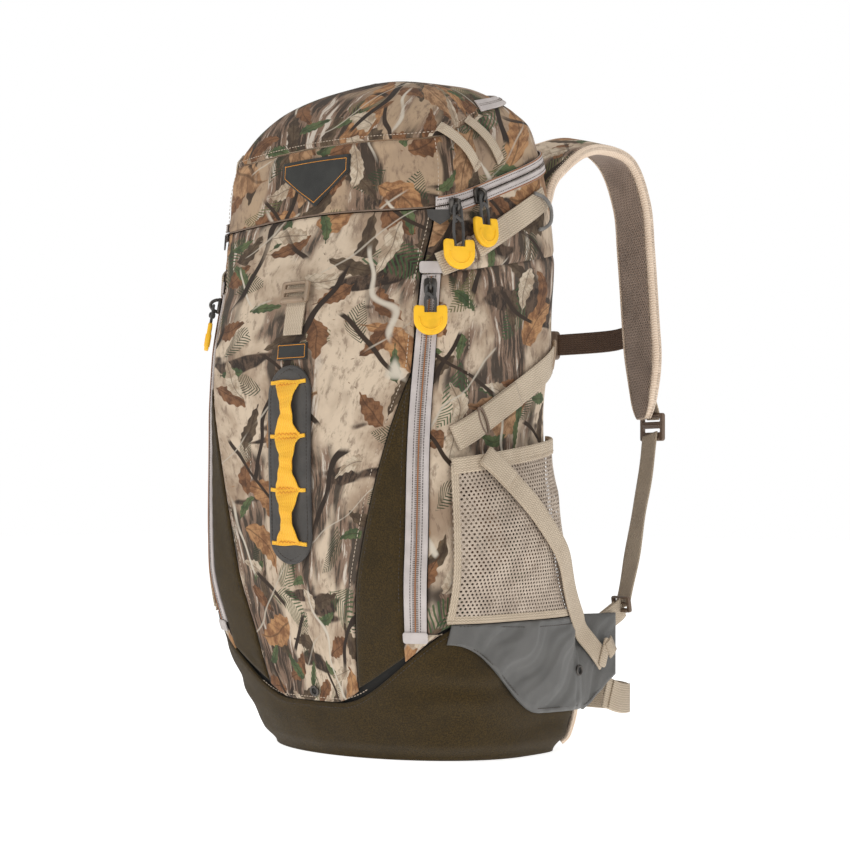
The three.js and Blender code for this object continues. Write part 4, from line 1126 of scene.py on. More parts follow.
def cross_rows(path, out, width, at, count=9, step=0.9):
    """Short zigzag lines across a band, for a bar tack at fraction `at` of its path."""
    i = int(at * (len(path) - 1))
    along = tangents(path)[i]
    across = unit(np.cross(out[i], along))
    q = np.linspace(-0.42, 0.42, count)[:, None]
    zig = np.where(np.arange(count) % 2, 1.0, -1.0)[:, None] * step
    place = path[i] + across * q * width + along * zig + out[i] * 0.95
    return place, np.broadcast_to(out[i], (count, 3))


def side_run(start, end):
    def place(t):
        return side_place(mix(start[0], end[0], t), mix(start[1], end[1], t))
    return place


tacks = []
upper_path, upper_out = laid("upper_strap", "pack", side_run((-41, 374), (78, 436)),
                             lambda t: 0.9 + 0.35 * np.sin(np.pi * t) ** 2, 18, 70, 1.5)
lower_path, lower_out = laid("lower_strap", "pack", side_run((-38, 245), (88, 311)),
                             lambda t: 1.2 + 0.35 * np.sin(np.pi * t) ** 2, 20, 70, 1.5)
for path, out, wide in ((upper_path, upper_out, 18), (lower_path, lower_out, 20)):
    tacks += [cross_rows(path, out, wide, at) for at in (0.05, 0.95, 0.23)]
along_lines("strap_tacks", both(tacks), 0.9, small_stitch, thread_pale, "pack")

# Folded anchor tabs with a doubled end, and the keeper rings they hold.
anchors, rings = Mesh(), Mesh()
for path, out, wide, puff, over, thick in ((upper_path, upper_out, 18, 0.05, 0.8, 0.8),
                                           (lower_path, lower_out, 20, 0.9, 1.35, 1.3)):
    n = int(0.20 * len(path))
    fold = path[:n + 1]
    up = out[:n + 1]
    rise = over + puff * np.sin(np.linspace(0, np.pi, n + 1)) ** 1.2
    band(anchors, fold + up * rise[:, None], up, wide - 0.6, thick)
    along, across = tangents(path)[n], unit(np.cross(out[n], tangents(path)[n]))
    hoop = [path[n] + across * wide * 0.54 * math.cos(a) + along * 3.4 * math.sin(a)
            + out[n] * (0.9 + puff) for a in np.linspace(0, 2 * math.pi, 36, endpoint=False)]
    tube(rings, hoop, 1.05, sides=8, up=out[n], closed=True)
    tail = slice(n + 2, n + 24)
    band(anchors, path[tail] + out[tail] * 1.4, out[tail], wide - 0.8, 1.2)
finish_pair(anchors, "strap_anchor_tabs", "pack", None, True, tan_web)
finish_pair(rings, "strap_keeper_rings", "pack", None, True, dark_tan)

for place, name in ((-30, "front"), (-3, "rear")):
    rise = 0.33 * (place + 30)
    node = "lid_loop_" + name
    path, out = laid(node, "lid", side_run((place, 479 + rise), (place + 27, 449 + rise)),
                     lambda t: 0.7 + 2.8 * np.sin(np.pi * t), 9, 40, 1.3)
    along_lines(node + "_tacks", both([cross_rows(path, out, 9, 0.06, 7, 0.8),
                cross_rows(path, out, 9, 0.94, 7, 0.8)]), 0.8, small_stitch, thread_pale, "lid")

# ------------------------------------------------------------------ front column
LAY, WEB = 0.7, 1.5


def capsule_half(v):
    radius = CAPSULE_WIDTH / 2
    past = np.maximum(0, np.maximum(CAPSULE_BOTTOM + radius - v, v - CAPSULE_TOP + radius)) / radius
    return np.maximum(radius * np.sqrt(np.clip(1 - past ** 2, 0, 1)), 1.0)


t, s = np.meshgrid(np.linspace(0, 1, 110), np.linspace(-1, 1, 26), indexing="ij")
spread = 0.5 - 0.5 * np.cos(np.pi * t) * (1 - 0.25 * np.sin(np.pi * t) ** 2)
v = mix(CAPSULE_BOTTOM, CAPSULE_TOP, spread)
turn = front_turn(s * capsule_half(v), v)
near = np.minimum((1 - np.abs(s)) * 22, np.minimum(v - CAPSULE_BOTTOM, CAPSULE_TOP - v))
lift = 2.5 - 0.8 * (1 - smooth(near / 1.6)) - 0.4 * np.exp(-((near - 3) / 0.9) ** 2)
lift += 0.25 * rumple(on_skin(turn, v), 22, 31)
capsule = Mesh()
shell(capsule, skin(turn, v, lift), skin(turn, v, 0 * lift + 0.3))
capsule.spots[-1] = capsule.spots[-1][:, ::-1]
finish_pair(capsule, "capsule", "pack", ["capsule_panel"], False, charcoal)
v_rim = np.linspace(CAPSULE_BOTTOM + 3.2, CAPSULE_TOP - 3.2, 90)
CAPSULE_MIDDLE = (CAPSULE_BOTTOM + CAPSULE_TOP) / 2
v_edge = np.clip((v_rim - CAPSULE_MIDDLE) * 1.045 + CAPSULE_MIDDLE, CAPSULE_BOTTOM, CAPSULE_TOP)
half_rim = np.maximum(capsule_half(v_edge) - 3.2, 0.3)
along_lines("capsule_stitches", [line_on(front_turn(sign * half_rim, v_rim), v_rim, 2.35)
            for sign in (1, -1)], 2.9, stitch, thread_dark, "pack")

bars, bows, knots = Mesh(), Mesh(), []
START = CAPSULE_BOTTOM + 16
for k in range(4):
    x = np.linspace(-18.5, 18.5, 30)
    v_bar = START + k * GEAR_PITCH + 0.4 * np.sin(x / 4 + k)
    p, o = line_on(front_turn(x, v_bar), v_bar, 3.0)
    band(bars, p, o, 3.0, 1.1)
for k in range(3):
    q = np.linspace(0, 1, 64)
    arch = np.sin(np.pi * np.clip((q - 0.06) / 0.88, 0, 1))
    v_bow = START + GEAR_PITCH * (k + q)
    crumple = 0.5 * np.sin(q * 23 + k) * arch
    p, o = line_on(0 * q, v_bow, 0)
    p = p + o * (3.1 + 4.0 * arch ** 0.7 + crumple)[:, None]
    p[:, 0] += (1.6 + 0.7 * np.sin(q * 9 + 2 * k)) * arch
    band(bows, p, o, 27 - 14.5 * arch ** 0.8, 1.35, wave=0.9, seed=k + 40)
    knots += [(p[[30, 33]], o[[30, 33]])]
    for edge in (0.035, 0.965):
        knots.append(cross_rows(p, o, 24, edge, 11, 0.7))
finish_pair(bars, "capsule_bars", "pack", None, False, orange_web)
finish_pair(bows, "gear_loops", "pack", ["gear_webbing"], False, orange_web)
along_lines("gear_tacks", knots, 0.9, small_stitch, thread_orange, "pack")

v_web = np.linspace(BUCKLE_HEIGHT - 34, BUCKLE_HEIGHT + 9, 40)
p, o = line_on(0 * v_web, v_web, 1.45)
web = Mesh()
band(web, p, o, 20, 1.5)
finish_pair(web, "tool_web", "pack", ["tool_web"], False, tan_web)


def basis(turn, v, lift):
    """The frame of a fitting on the skin: its place, level, up and outward directions."""
    out = normal_at(np.array(turn, float), np.array(v, float))
    level_way = unit(np.array([-out[1], out[0], 0.0]))
    up = unit(np.cross(out, level_way))
    up = up * np.sign(up[2])
    return skin(np.array(turn, float), np.array(v, float), lift), unit(np.cross(up, out)), up, out


def ladder_lock(mesh, at, right, up, width, height, thick):
    """A moulded ladder-lock: two slots, a raised thumb lip and rounded rails."""
    out = unit(np.cross(right, up))
    base = at - out * thick / 2
    w = width - 7.5
    plate(mesh, oblong(width, height, 2.4), base, right, up, thick, 0.7,
          [oblong(w, 3.2, 0.8, at=(0, -height * 0.12)), oblong(w, 3.2, 0.8, at=(0, height * 0.26))])
    lip = [at + right * x - up * (height / 2 - 1.6) + out * (thick * 0.75) for x in
           np.linspace(-(width - 6) / 2, (width - 6) / 2, 12)]
    tube(mesh, lip, 1.5, sides=10, squash=0.75, up=out)
    for z in (0.07, 0.43):
        bar = [at + right * x + up * height * z + out * (thick * 0.45) for x in
               np.linspace(-w / 2, w / 2, 10)]
        tube(mesh, bar, 0.85, sides=8, up=out)


at, right, up, out = basis(0.001, BUCKLE_HEIGHT, LAY + WEB + 0.6 + 1.5)
lock = Mesh()
ladder_lock(lock, at, right, up, 29, 17, 3)
finish_pair(lock, "tool_lock", "tool_lock", ["tool_buckle"], False, tan_plastic)

# ------------------------------------------------------------------ bare patch and label
t, s = np.meshgrid(np.linspace(0, 1, 50), np.linspace(-1, 1, 50), indexing="ij")


def patch_half(t):
    return np.where(t < 0.34, 36, mix(36, 0.6, (t - 0.33) / 0.66))


def patch_grid(t, s, lift):
    x = s * patch_half(t)
    v = 464 - 37 * t
    return skin(front_turn(x, v), v, lift)


near = np.minimum((1 - np.abs(s)) * patch_half(t), np.minimum(t, 1 - t) * 37)
patch = Mesh()
top = patch_grid(0.99 * t, s, 2.0 - 0.7 * (1 - smooth(near / 1.4)))
shell(patch, top[::-1], patch_grid(0.99 * t, s, 0 * t + 0.3)[::-1])
finish_pair(patch, "lid_patch", "lid", ["lid_patch"], False, black_cloth)


def stitched_border(name, corners, lift, body):
    """An orange border stitched just inside a patch, through its corners in order."""
    runs = [np.linspace(a, b, 14)[:-1] for a, b in zip(corners, corners[1:])]
    x, v = np.concatenate(runs + [np.array(corners[:1])]).T
    along_lines(name, [line_on(front_turn(x, v), v, lift)], 1.25, small_stitch, thread_orange, body)


stitched_border("patch_border", [(-33, 461), (0, 461), (33, 461), (33, 452), (17, 440.5), (0, 430),
                                 (-17, 440.5), (-33, 452), (-33, 461)], 1.95, "lid")

label = Mesh()
LABEL_HALF, LABEL_BOTTOM, LABEL_TOP = 16, 307.5, 320.5
v, x = np.meshgrid(np.linspace(LABEL_BOTTOM, LABEL_TOP, 16),
                   np.linspace(-LABEL_HALF, LABEL_HALF, 30), indexing="ij")
near = np.minimum(LABEL_HALF - np.abs(x), np.minimum(v - LABEL_BOTTOM, LABEL_TOP - v))
turn = front_turn(x, v)
shell(label, skin(turn, v, 1.2 - 0.6 * (1 - smooth(near / 1.2))), skin(turn, v, 0 * v - 0.2))
finish_pair(label, "front_label", "pack", None, False, black_cloth)
stitched_border("label_border", [(-14.4, 309), (14.4, 309), (14.4, 319), (-14.4, 319),
                                 (-14.4, 309)], 1.2, "pack")


# ------------------------------------------------------------------ mesh pockets
def back_edge(z):
    """How far back the pocket and the fin's panel reach."""
    return ring(z)[2] - 15


def side_x(y, z):
    """How far out the bag's side stands."""
    turn, v = side_place(y, z)
    return on_skin(turn, z)[..., 0]


def pocket_point(s, t, lift):
    """A place on the mesh pocket, s from front to back and t from foot to rim."""
    z = mix(POCKET_FOOT, mix(RIM_FRONT, RIM_BACK, s), t)
    y = mix(POCKET_FRONT, back_edge(z), s)
    full = mix(0.08, 1, smooth(t * 2.2)) * mix(1, 0.62, smooth((t - 0.55) / 0.45))
    bulge = BULGE * np.sin(np.pi * np.clip(s, 0, 1)) ** 0.75 * full
    return np.stack([side_x(y, z) + bulge + 1.0 + lift, y, z], -1)


def gathers(s, t):
    """Slack folds of the net, rising towards the back, strongest near its foot and hem."""
    y, z = s * 125, t * 130
    drift = 5 * np.sin(y / 31 + 1.0) + 4 * np.sin(z / 23)
    run = (z - y * 0.75 + drift) / 15.5
    sharp = 1 - np.abs(np.sin(run * np.pi / 2)) ** 0.7
    zone = smooth(s / 0.15) * smooth((1 - s) / 0.12) * smooth(t / 0.12) * smooth((0.97 - t) / 0.12)
    return 1.5 * (sharp - 0.35) * zone * (0.55 + 0.45 * np.sin(y / 19 + z / 41))


def net(mesh, face, width, height, pitch, thread, thick):
    """Knitted net: staggered six-sided holes over face(s, t, lift), as one closed sheet."""
    step_t = pitch * 0.87
    across, up = int(width / pitch), int(height / step_t)
    angles = np.radians(30 + 60 * np.arange(6))
    hexagon = np.stack([np.cos(angles), np.sin(angles)], -1) * pitch / math.sqrt(3)
    hole = hexagon * (1 - 2 * thread / pitch)
    i, j = np.meshgrid(np.arange(up + 1), np.arange(across + 1), indexing="ij")
    centre = np.stack([(j + 0.5 * (i % 2)) * pitch, i * step_t], -1).reshape(-1, 1, 2)
    size = np.array([width, height])
    outer = np.clip(centre + hexagon, 0, size) / size
    inner = np.clip(centre + hole, 0, size) / size
    least = 0.3 * pitch / size
    keep = (np.ptp(inner, axis=1) > least).all(-1)
    outer, inner = outer[keep], inner[keep]
    n = len(outer)
    flat = np.concatenate([outer, inner], 1).reshape(-1, 2)
    places = []
    for lift in (thick, 0.0):
        sag = np.tile(np.r_[np.zeros(6), np.full(6, -0.25 if lift else 0.25)], n)
        places.append(face(flat[:, 0], flat[:, 1], lift + sag))
    total = 12 * n
    cell = []
    for k in range(6):
        q = (k + 1) % 6
        cell += [(k, q, 6 + q, 6 + k), (total + k, total + 6 + k, total + 6 + q, total + q),
                 (6 + k, 6 + q, total + 6 + q, total + 6 + k)]
    faces = (np.array(cell)[None] + 12 * np.arange(n)[:, None, None]).reshape(-1, 4)
    mesh.add(np.concatenate(places), faces, np.concatenate([flat * size] * 2))


def weld(obj):
    """Join the net's cells where they meet."""
    body = bmesh.new()
    body.from_mesh(obj.data)
    bmesh.ops.remove_doubles(body, verts=body.verts, dist=0.00002)
    bmesh.ops.dissolve_degenerate(body, edges=body.edges, dist=0.00001)
    body.to_mesh(obj.data)
    body.free()


pocket = Mesh()
net(pocket, lambda s, t, lift: pocket_point(s * 0.995, t, lift + 0.6 + gathers(s, t)), 138, 134,
    3.3, 0.78, 0.9)
for made in finish_pair(pocket, "mesh_pocket_net", "pack", ["mesh_pocket"], True, pocket_net,
                        smooth_faces=False):
    weld(made)

hem = Mesh()
s_line = np.linspace(0.0, 1.0, 90)
p = pocket_point(s_line, np.full(90, 0.955), 1.9 + 0.35 * np.sin(s_line * 60))
o = unit(np.cross(tangents(p), np.array([0, 0.0, 1.0])))
o = o * np.sign(o[:, :1])
band(hem, p, o, 12, 1.9, wave=0.35)
for s_side in (0.0, 1.0):
    t_line = np.linspace(0.02, 0.96, 60)
    q = pocket_point(np.full(60, mix(0.012, 0.988, s_side)), t_line, 1.6)
    band(hem, q, np.array([0.92, 0.39 * (2 * s_side - 1), 0]), 6, 1.5)
q = pocket_point(s_line, np.full(90, 0.018), 1.2)
band(hem, q, np.array([1.0, 0, 0.0]), 6, 1.4)
finish_pair(hem, "mesh_pocket_binding", "pack", None, True, tan_web)
along_lines("pocket_stitches", both([(p + o * 1.1 - np.array([0, 0, 3.6]), o)]), 2.9, stitch,
            thread_pale, "pack")


# ------------------------------------------------------------------ hip fins
TIP_X = 121.5  # how far out the fin's tip stands


def fin_point(q, t, lift):
    """A place on the hip fin, q from its front to its tip and t from foot to top."""
    corner = back_edge(70.0) + 4
    low = mix(FIN_FRONT, corner, q / WING)
    high = mix(corner, FIN_TIP, (q - WING) / (1 - WING))
    y = np.where(q < WING, low, high)
    foot = np.where(q < WING, mix(92, mix(38, 30, q), smooth(q / 0.42)),
                    mix(31, 57, (q - WING) / (1 - WING)))
    z = mix(foot, FIN_TOP, t)
    side = side_x(np.minimum(y, corner - 6), z)
    past = smooth((y - corner + 6) / (FIN_TIP - corner))
    wing = mix(side_x(np.full(z.shape, corner - 6), z), TIP_X, past)
    return np.stack([np.where(y < corner - 6, side, wing) + 1.2 + lift, y, z], -1)


t, s = np.meshgrid(np.linspace(0, 1, 46), np.linspace(0, 1, 120), indexing="ij")
flat = fin_point(s, t, 0 * t)
near = np.minimum(np.minimum(s, 1 - s) * 230, np.minimum(t, 1 - t) * 70)
slope = flat[..., 2] - 0.8 * flat[..., 1]
crease = 0.7 * rumple(flat, 34, 51) + 1.1 * np.sin(slope / 8 + 2.5 * rumple(flat, 70, 52)) ** 3
fold = np.exp(-((flat[..., 1] - 108) / 2.2) ** 2)
lift = 2.7 + 1.8 * np.clip(crease, -0.9, 0.6) * smooth(near / 6)
lift += -0.7 * (1 - smooth(near / 2.2)) - 0.8 * fold
lift += 0.35 * np.sin(flat[..., 1] / 2.6) * np.exp(-near / 4)
fin = Mesh()
shell(fin, fin_point(s, t, lift), flat)
fin.spots[-1] = fin.spots[-1][:, ::-1]
finish_pair(fin, "hip_fin", "pack", ["hip_fin"], True, nylon)
edge = fin_point(np.linspace(0.02, 0.99, 100), np.full(100, 0.05), 2.6)
inner_edge = fin_point(np.linspace(0.02, 0.72, 80), np.full(80, 0.93), 2.8)
outward = np.array([1.0, 0, 0.1])
along_lines("fin_stitches", both([(edge, outward), (inner_edge, outward)]), 3.0, stitch,
            thread_dark, "pack")


def grommet(mesh, at, out):
    """A pressed ring: a rolled flange round a dark hole."""
    radius = 4.6
    out = unit(np.asarray(out, float))
    right = unit(np.cross((0, 0, 1.0), out))
    up = np.cross(out, right)
    loop = [at + (right * math.cos(b) + up * math.sin(b)) * radius * 0.76 + out * 0.5
            for b in np.linspace(0, 2 * math.pi, 40, endpoint=False)]
    tube(mesh, loop, radius * 0.24, sides=10, squash=1.0, up=out, closed=True)


front_eye, out_eye = line_on(np.array([2.5]), np.array([52.0]), 0.5)
side_eye = fin_point(np.array([0.66]), np.array([0.42]), np.array([3.2]))
for where, place, out, both_ways in (("front", front_eye[0], out_eye[0], False),
                                     ("fin", side_eye[0], np.array([1.0, 0.05, 0]), True)):
    eyelet, hole = Mesh(), Mesh()
    grommet(eyelet, place, out)
    right = unit(np.cross((0, 0, 1.0), out))
    plate(hole, disc(2.9, 24), place - out * 0.6, right, np.cross(out, right), 0.8, 0.15)
    finish_pair(eyelet, where + "_grommet", "pack", None, both_ways, dark_metal)
    finish_pair(hole, where + "_grommet_hole", "pack", None, both_ways, lining)


# ------------------------------------------------------------------ diagonal stabiliser straps
def cover_x(y, z):
    """How far out the pocket or the fin reaches at one place on the side."""
    back = back_edge(z)
    s = np.clip((y - POCKET_FRONT) / (back - POCKET_FRONT), 0, 1)
    t = (z - POCKET_FOOT) / (mix(RIM_FRONT, RIM_BACK, s) - POCKET_FOOT)
    reach = float(side_x(min(y, back), z)) + 1
    if 0 < t < 1.02 and y < back + 3:
        reach = max(reach, float(pocket_point(s, np.array(min(t, 1.0)), 2.7)[0]))
    if z < FIN_TOP + 4:
        q = np.linspace(0, 1, 60)
        at_y = fin_point(q, np.ones(60), 0)[:, 1]
        q = float(np.interp(y, at_y, q))
        t = np.clip(0.5 + (z - 70) / 75, 0, 1)
        reach = max(reach, float(fin_point(np.array(q), t, 3.1)[0]))
    return reach


q = np.linspace(0, 1, 70)
reach = np.array([cover_x(mix(-22, 150, f), mix(233, 68, f)) for f in q])
wide_reach = np.maximum.reduce([reach, np.roll(reach, 2), np.roll(reach, -2)])
wide_reach[:2], wide_reach[-2:] = reach[:2], reach[-2:]
kernel = np.hanning(7) / np.hanning(7).sum()
wide_reach = np.maximum(np.convolve(np.pad(wide_reach, 3, mode="edge"), kernel, "valid"), reach)
diagonal = np.stack([wide_reach + 2.3, mix(-22, 150, q), mix(233, 68, q)], -1)
strap = Mesh()
band(strap, diagonal, np.array([1.0, 0, 0]), 17, 1.5, wave=0.4)
doubled = diagonal[:9] + np.array([1.5, 0, 0])
band(strap, doubled, np.array([1.0, 0, 0]), 16.4, 1.3)
finish_pair(strap, "stabiliser", "pack", ["stabiliser_strap"], True, tan_web)
slot = Mesh()
foot = diagonal[-3]
plate(slot, oblong(9, 24, 2.5), foot + np.array([0.9, 4, 3]), (0, 0.92, -0.38), (0, 0.38, 0.92),
      1.6, 0.4)
tab = foot + np.array([2.4, 7, 4])
band(slot, tab + np.array([(0, 0, 0), (0.3, 4.5, 3), (-0.8, 9, 6.5)]), (1.0, 0.1, 0), 15, 1.4)
finish_pair(slot, "fin_web_tab", "pack", None, True, tan_web)

# ------------------------------------------------------------------ shoulder straps
def yoke_y(x, z):
    """How far back the yoke stands at a place across it and its height."""
    turn = np.array(180 - math.degrees(math.atan(x / ring(PAD_TOP)[0])))
    return float(on_skin(turn, ring_at(turn, np.array(z)))[1])


YOKE = yoke_y(50, 428.0)
STATIONS = np.array([
    [54, YOKE + 8.9, 428, 0.68, 0, -0.73], [58, YOKE + 16, 453, 0.76, -0.04, -0.65],
    [63, 145, 474, 0.82, -0.14, -0.55], [67, 172, 491, 0.88, -0.30, -0.33],
    [72, 203, 498, 0.90, -0.35, -0.25], [80, 232, 487, 0.92, -0.37, -0.10],
    [86, 247, 452, 0.92, -0.39, -0.03], [88, 251, 410, 0.92, -0.39, 0],
    [90, 255, 350, 0.92, -0.39, 0], [92, 257, 305, 0.92, -0.39, 0], [94, 254, 268, 0.92, -0.39, 0]])
COUNT = 150
f = np.linspace(0, 1, COUNT)
centre = curve_through(STATIONS[:, :3], COUNT)
width_way = unit(curve_through(STATIONS[:, 3:], COUNT))
along = tangents(centre)
face_out = unit(np.cross(width_way, along))
side_way = unit(np.cross(along, face_out))
strap_width = mix(28, 52, smooth((1 - f) / 0.16)) + 4 * (1 - smooth(f / 0.15))
ROUND_FROM = 0.955  # along the strap, where its end starts to round
rounded = np.sqrt(np.clip(1 - ((f - ROUND_FROM) / 0.052) ** 2, 0.06, 1))
strap_width *= np.where(f > ROUND_FROM, rounded, 1)
# Across the strap: camo outer face, ribbed binding rolled over each edge, mesh inner face.
x_out = np.linspace(-0.84, 0.84, 21)
profile = [(-0.985, 0.55), (-0.93, 0.86), (-0.86, 0.93), (-0.845, 0.80)]
profile += [(x, 0.84 + 0.16 * (1 - x * x)) for x in x_out]
profile += [(0.845, 0.80), (0.86, 0.93), (0.93, 0.86), (0.985, 0.55), (1.0, 0.0)]
profile += [(x, -y) for x, y in profile[-2:-6:-1]]
profile += [(x, -0.80 - 0.2 * (1 - x * x)) for x in x_out[::-1]]
profile += [(x, -y) for x, y in profile[3::-1]] + [(-1.0, 0.0)]
profile = np.array(profile)
m = len(profile)
is_face = np.abs(profile[:, 0]) <= 0.842
quilt = 0.35 * rumple(centre[:, None] + side_way[:, None] * profile[None, :, :1] * 26, 26, 61)
pad_half = 4.7 - 1.2 * smooth((f - 0.93) / 0.07) - 0.5 * (1 - smooth(f / 0.04))
sideways = profile[None, :, 0] * strap_width[:, None] / 2
shape = profile[None, :, 1] * pad_half[:, None]
shape = shape + quilt * is_face[None] * np.sign(profile[None, :, 1])
points = (centre[:, None] + side_way[:, None] * sideways[..., None]
          + face_out[:, None] * shape[..., None])
length = np.cumsum(np.r_[0, np.linalg.norm(np.diff(centre, axis=0), axis=1)])
spots = np.stack([sideways, np.broadcast_to(length[:, None], (COUNT, m))], -1)
spots[..., 0] += np.where(profile[None, :, 1] > 0, 2100.0, 0.0)
pad_strap = Mesh()
faces = [q[::-1] for q in grid_faces(COUNT, m, wrap=True)]
slots = [(0 if profile[j, 1] > 0 else 1) if is_face[j] and is_face[(j + 1) % m] else 2
         for j in range(m)] * (COUNT - 1)
faces += [tuple(range(m)), tuple((COUNT - 1) * m + j for j in range(m - 1, -1, -1))]
pad_strap.add(points, faces, spots)
pad_strap.slots = slots + [2, 2]
strap_objects = finish_pair(pad_strap, "shoulder_strap", "strap", ["shoulder_strap"], True,
                            camo, strap_mesh, binding)
lines = []
for sign in (-1, 1):
    for high in (1, -1):
        edge = (centre + side_way * (sign * 0.80 * strap_width / 2)[:, None]
                + face_out * (high * (pad_half * 0.91))[:, None])
        lines.append((edge[3:-6], (face_out * high)[3:-6]))
for word, sign in (("right", 1), ("left", -1)):
    flip = np.array([sign, 1, 1])
    along_lines("strap_stitches_" + word, [(p * flip, o * flip) for p, o in lines], 3.0, stitch,
                thread_pale, "strap_" + word)

# A cross strap sewn low on each strap, and the tab that carries the ladder-lock.
keepers = Mesh()
for place in (0.74, 0.90):
    i = int(place * COUNT)
    x = np.linspace(-0.62, 0.62, 14)[:, None] * strap_width[i] / 2
    band(keepers, centre[i] + side_way[i] * x + face_out[i] * 5.6, face_out[i], 12, 1.2)
lock_at = np.array([98, 261.4, 261.0])
hang = [centre[-16] + face_out[-16] * 5.3, centre[-9] + face_out[-9] * 5.0,
        lock_at + np.array([0.3, 1.0, 9.5]), lock_at + np.array([0.1, 0.5, 6.2])]
band(keepers, curve_through(hang, 24), face_out[-9], 19, 1.3)
finish_pair(keepers, "strap_tabs", "strap", None, True, tan_web)

lock = Mesh()
ladder_lock(lock, lock_at, np.array([0.963, -0.27, 0]), np.array([0, 0, 1.0]), 30, 24, 3.4)
finish_pair(lock, "strap_lock", "lock", ["strap_lock"], True, dark_tan)

HEAD, FOOT = np.array([97.3, 258.6, 255]), np.array([119.5, 186, 110])
mid = (HEAD + FOOT) / 2 + np.array([-1, 5, 0])
path = curve_through([HEAD, mid, FOOT], 70)
out = unit(np.cross(np.array([0.94, -0.34, 0]), tangents(path)))
lower = Mesh()
drape = 0.8 * np.sin(np.linspace(0, 9, 70)) * np.sin(np.linspace(0, np.pi, 70)) ** 0.3
band(lower, path + out * drape[:, None], out, 20, 1.5, wave=0.8, seed=71)
finish_pair(lower, "lower_web", "strap", ["lower_web"], True, tan_web)

# The tab on the fin's tip that takes the foot of the lower web, with its small keeper.
tip_tab = Mesh()
run = curve_through([[118.6, 162, 98], [119.6, 172, 103], [120.6, 183, 108.5],
                     [119.9, 187.5, 111]], 30)
band(tip_tab, run, (1.0, 0.15, 0), 19, 1.5, wave=0.3)
band(tip_tab, run[:18] - np.array([2.9, 0, 0]), (1.0, 0.15, 0), 18.4, 1.3)
finish_pair(tip_tab, "fin_tip_tab", "pack", None, True, tan_web)
tip_lock = Mesh()
ladder_lock(tip_lock, np.array([120.3, 184.5, 113.0]), np.array([0.94, -0.34, 0]),
            unit(np.array([-0.05, -0.13, 0.99])), 25, 13, 3.0)
finish_pair(tip_lock, "fin_tip_keeper", "pack", None, True, dark_tan)


# ------------------------------------------------------------------ buckles
def buckle_body(mesh, at, right, up, width, height, thick, prongs):
    """One half of a side-release buckle: rounded shell, webbing bar and side grips or prongs."""
    out = unit(np.cross(right, up))
    base = at - out * thick / 2
    slot_x = 0.30 * width * (1 if prongs else -1)
    plate(mesh, oblong(width, height, 3.4, 8), base, right, up, thick, 1.3,
          [oblong(2.8, height * 0.74, 1.2, at=(slot_x, 0))])
    bar = [at + right * slot_x + up * y for y in np.linspace(-height * 0.37, height * 0.37, 9)]
    tube(mesh, bar, 1.1, sides=8, up=out)
    for side in (-1, 1):
        rail = [at + right * x + up * side * height * 0.40 + out * thick * 0.42
                for x in np.linspace(-width * 0.34, width * 0.34, 9)]
        tube(mesh, rail, 0.9, sides=8, up=out)
    for k in range(3):
        x = (-0.12 if prongs else 0.12) * width + (k - 1) * 2.1
        rib = [at + right * x + up * y + out * thick * 0.5
               for y in np.linspace(-height * 0.2, height * 0.2, 7)]
        tube(mesh, rib, 0.55, sides=6, up=out)


def sternum_half(name, sign, meet, buckle):
    """Half of the sternum strap: its web, its doubled keeper and half of the buckle."""
    stations = [[70.2, 271.3, 342], [62, 273.3, 341], [45, 276.4, 339], [meet + 6, 277, 338]]
    path = curve_through(stations, 60)
    out = unit(np.cross(np.array([0, 0, 1.0]), tangents(path)))
    out = out * np.sign(out[:, 1:2])
    web = Mesh()
    band(web, path, out, 19, 1.5, wave=0.5, seed=81)
    band(web, path[34:56] + out[34:56] * 1.5, out[34:56], 18.4, 1.2)
    buckle_body(web, np.array([meet + 0.7 + buckle / 2, 277, 338.0]), np.array([-1.0, 0, 0]),
                np.array([0, 0, 1.0]), buckle, 26, 7, sign > 0)
    first = sum(len(p) for p in web.points[:2])
    web.slots = [0 if f[0] < first else 1 for f in web.faces]
    solid = web if sign > 0 else mirrored(web)
    made = solid.object(name, brown_web, dark_tan)
    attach(made, "chest_right" if sign > 0 else "chest_left")
    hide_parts("sternum_right" if sign > 0 else "sternum_left")


sternum_half("sternum_right_half", 1, -36, 20)
sternum_half("sternum_left_half", -1, 36, 24)


def belt_half(name, sign, buckle):
    stations = [[121.2, 160, 43], [120.5, 178, 37], [113, 203, 34], [94, 214, 34], [52, 215, 34],
                [10, 215, 34]]
    path = curve_through(stations, 110)
    out = unit(np.cross(np.array([0, 0, 1.0]), tangents(path)))
    web = Mesh()
    band(web, path, out, 25, 1.8, wave=0.5, seed=91)
    band(web, path[8:46] - out[8:46] * 1.7, out[8:46], 24.2, 1.3, wave=0.5, seed=92)
    first = web.count
    buckle_body(web, np.array([0.7 + buckle / 2, 215, 34.0]), np.array([-1.0, 0, 0]),
                np.array([0, 0, 1.0]), buckle, 32, 10, sign > 0)
    web.slots = [0 if f[0] < first else 1 for f in web.faces]
    solid = web if sign > 0 else mirrored(web)
    made = solid.object(name, tan_web, dark_tan)
    body = "hip_right" if sign > 0 else "hip_left"
    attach(made, body)
    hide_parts("belt_right" if sign > 0 else "belt_left")
    tack = [cross_rows(path, out, 25, 0.10, 13, 1.2), cross_rows(path, out, 25, 0.40, 13, 1.2)]
    tack += [cross_rows(path, -out, 25, 0.10, 13, 1.2)]
    mirror = np.array([sign, 1, 1])
    along_lines(name + "_tacks", [(p * mirror, o * mirror) for p, o in tack], 0.9, small_stitch,
                thread_pale, body)


belt_half("belt_right_half", 1, 26)
belt_half("belt_left_half", -1, 38)

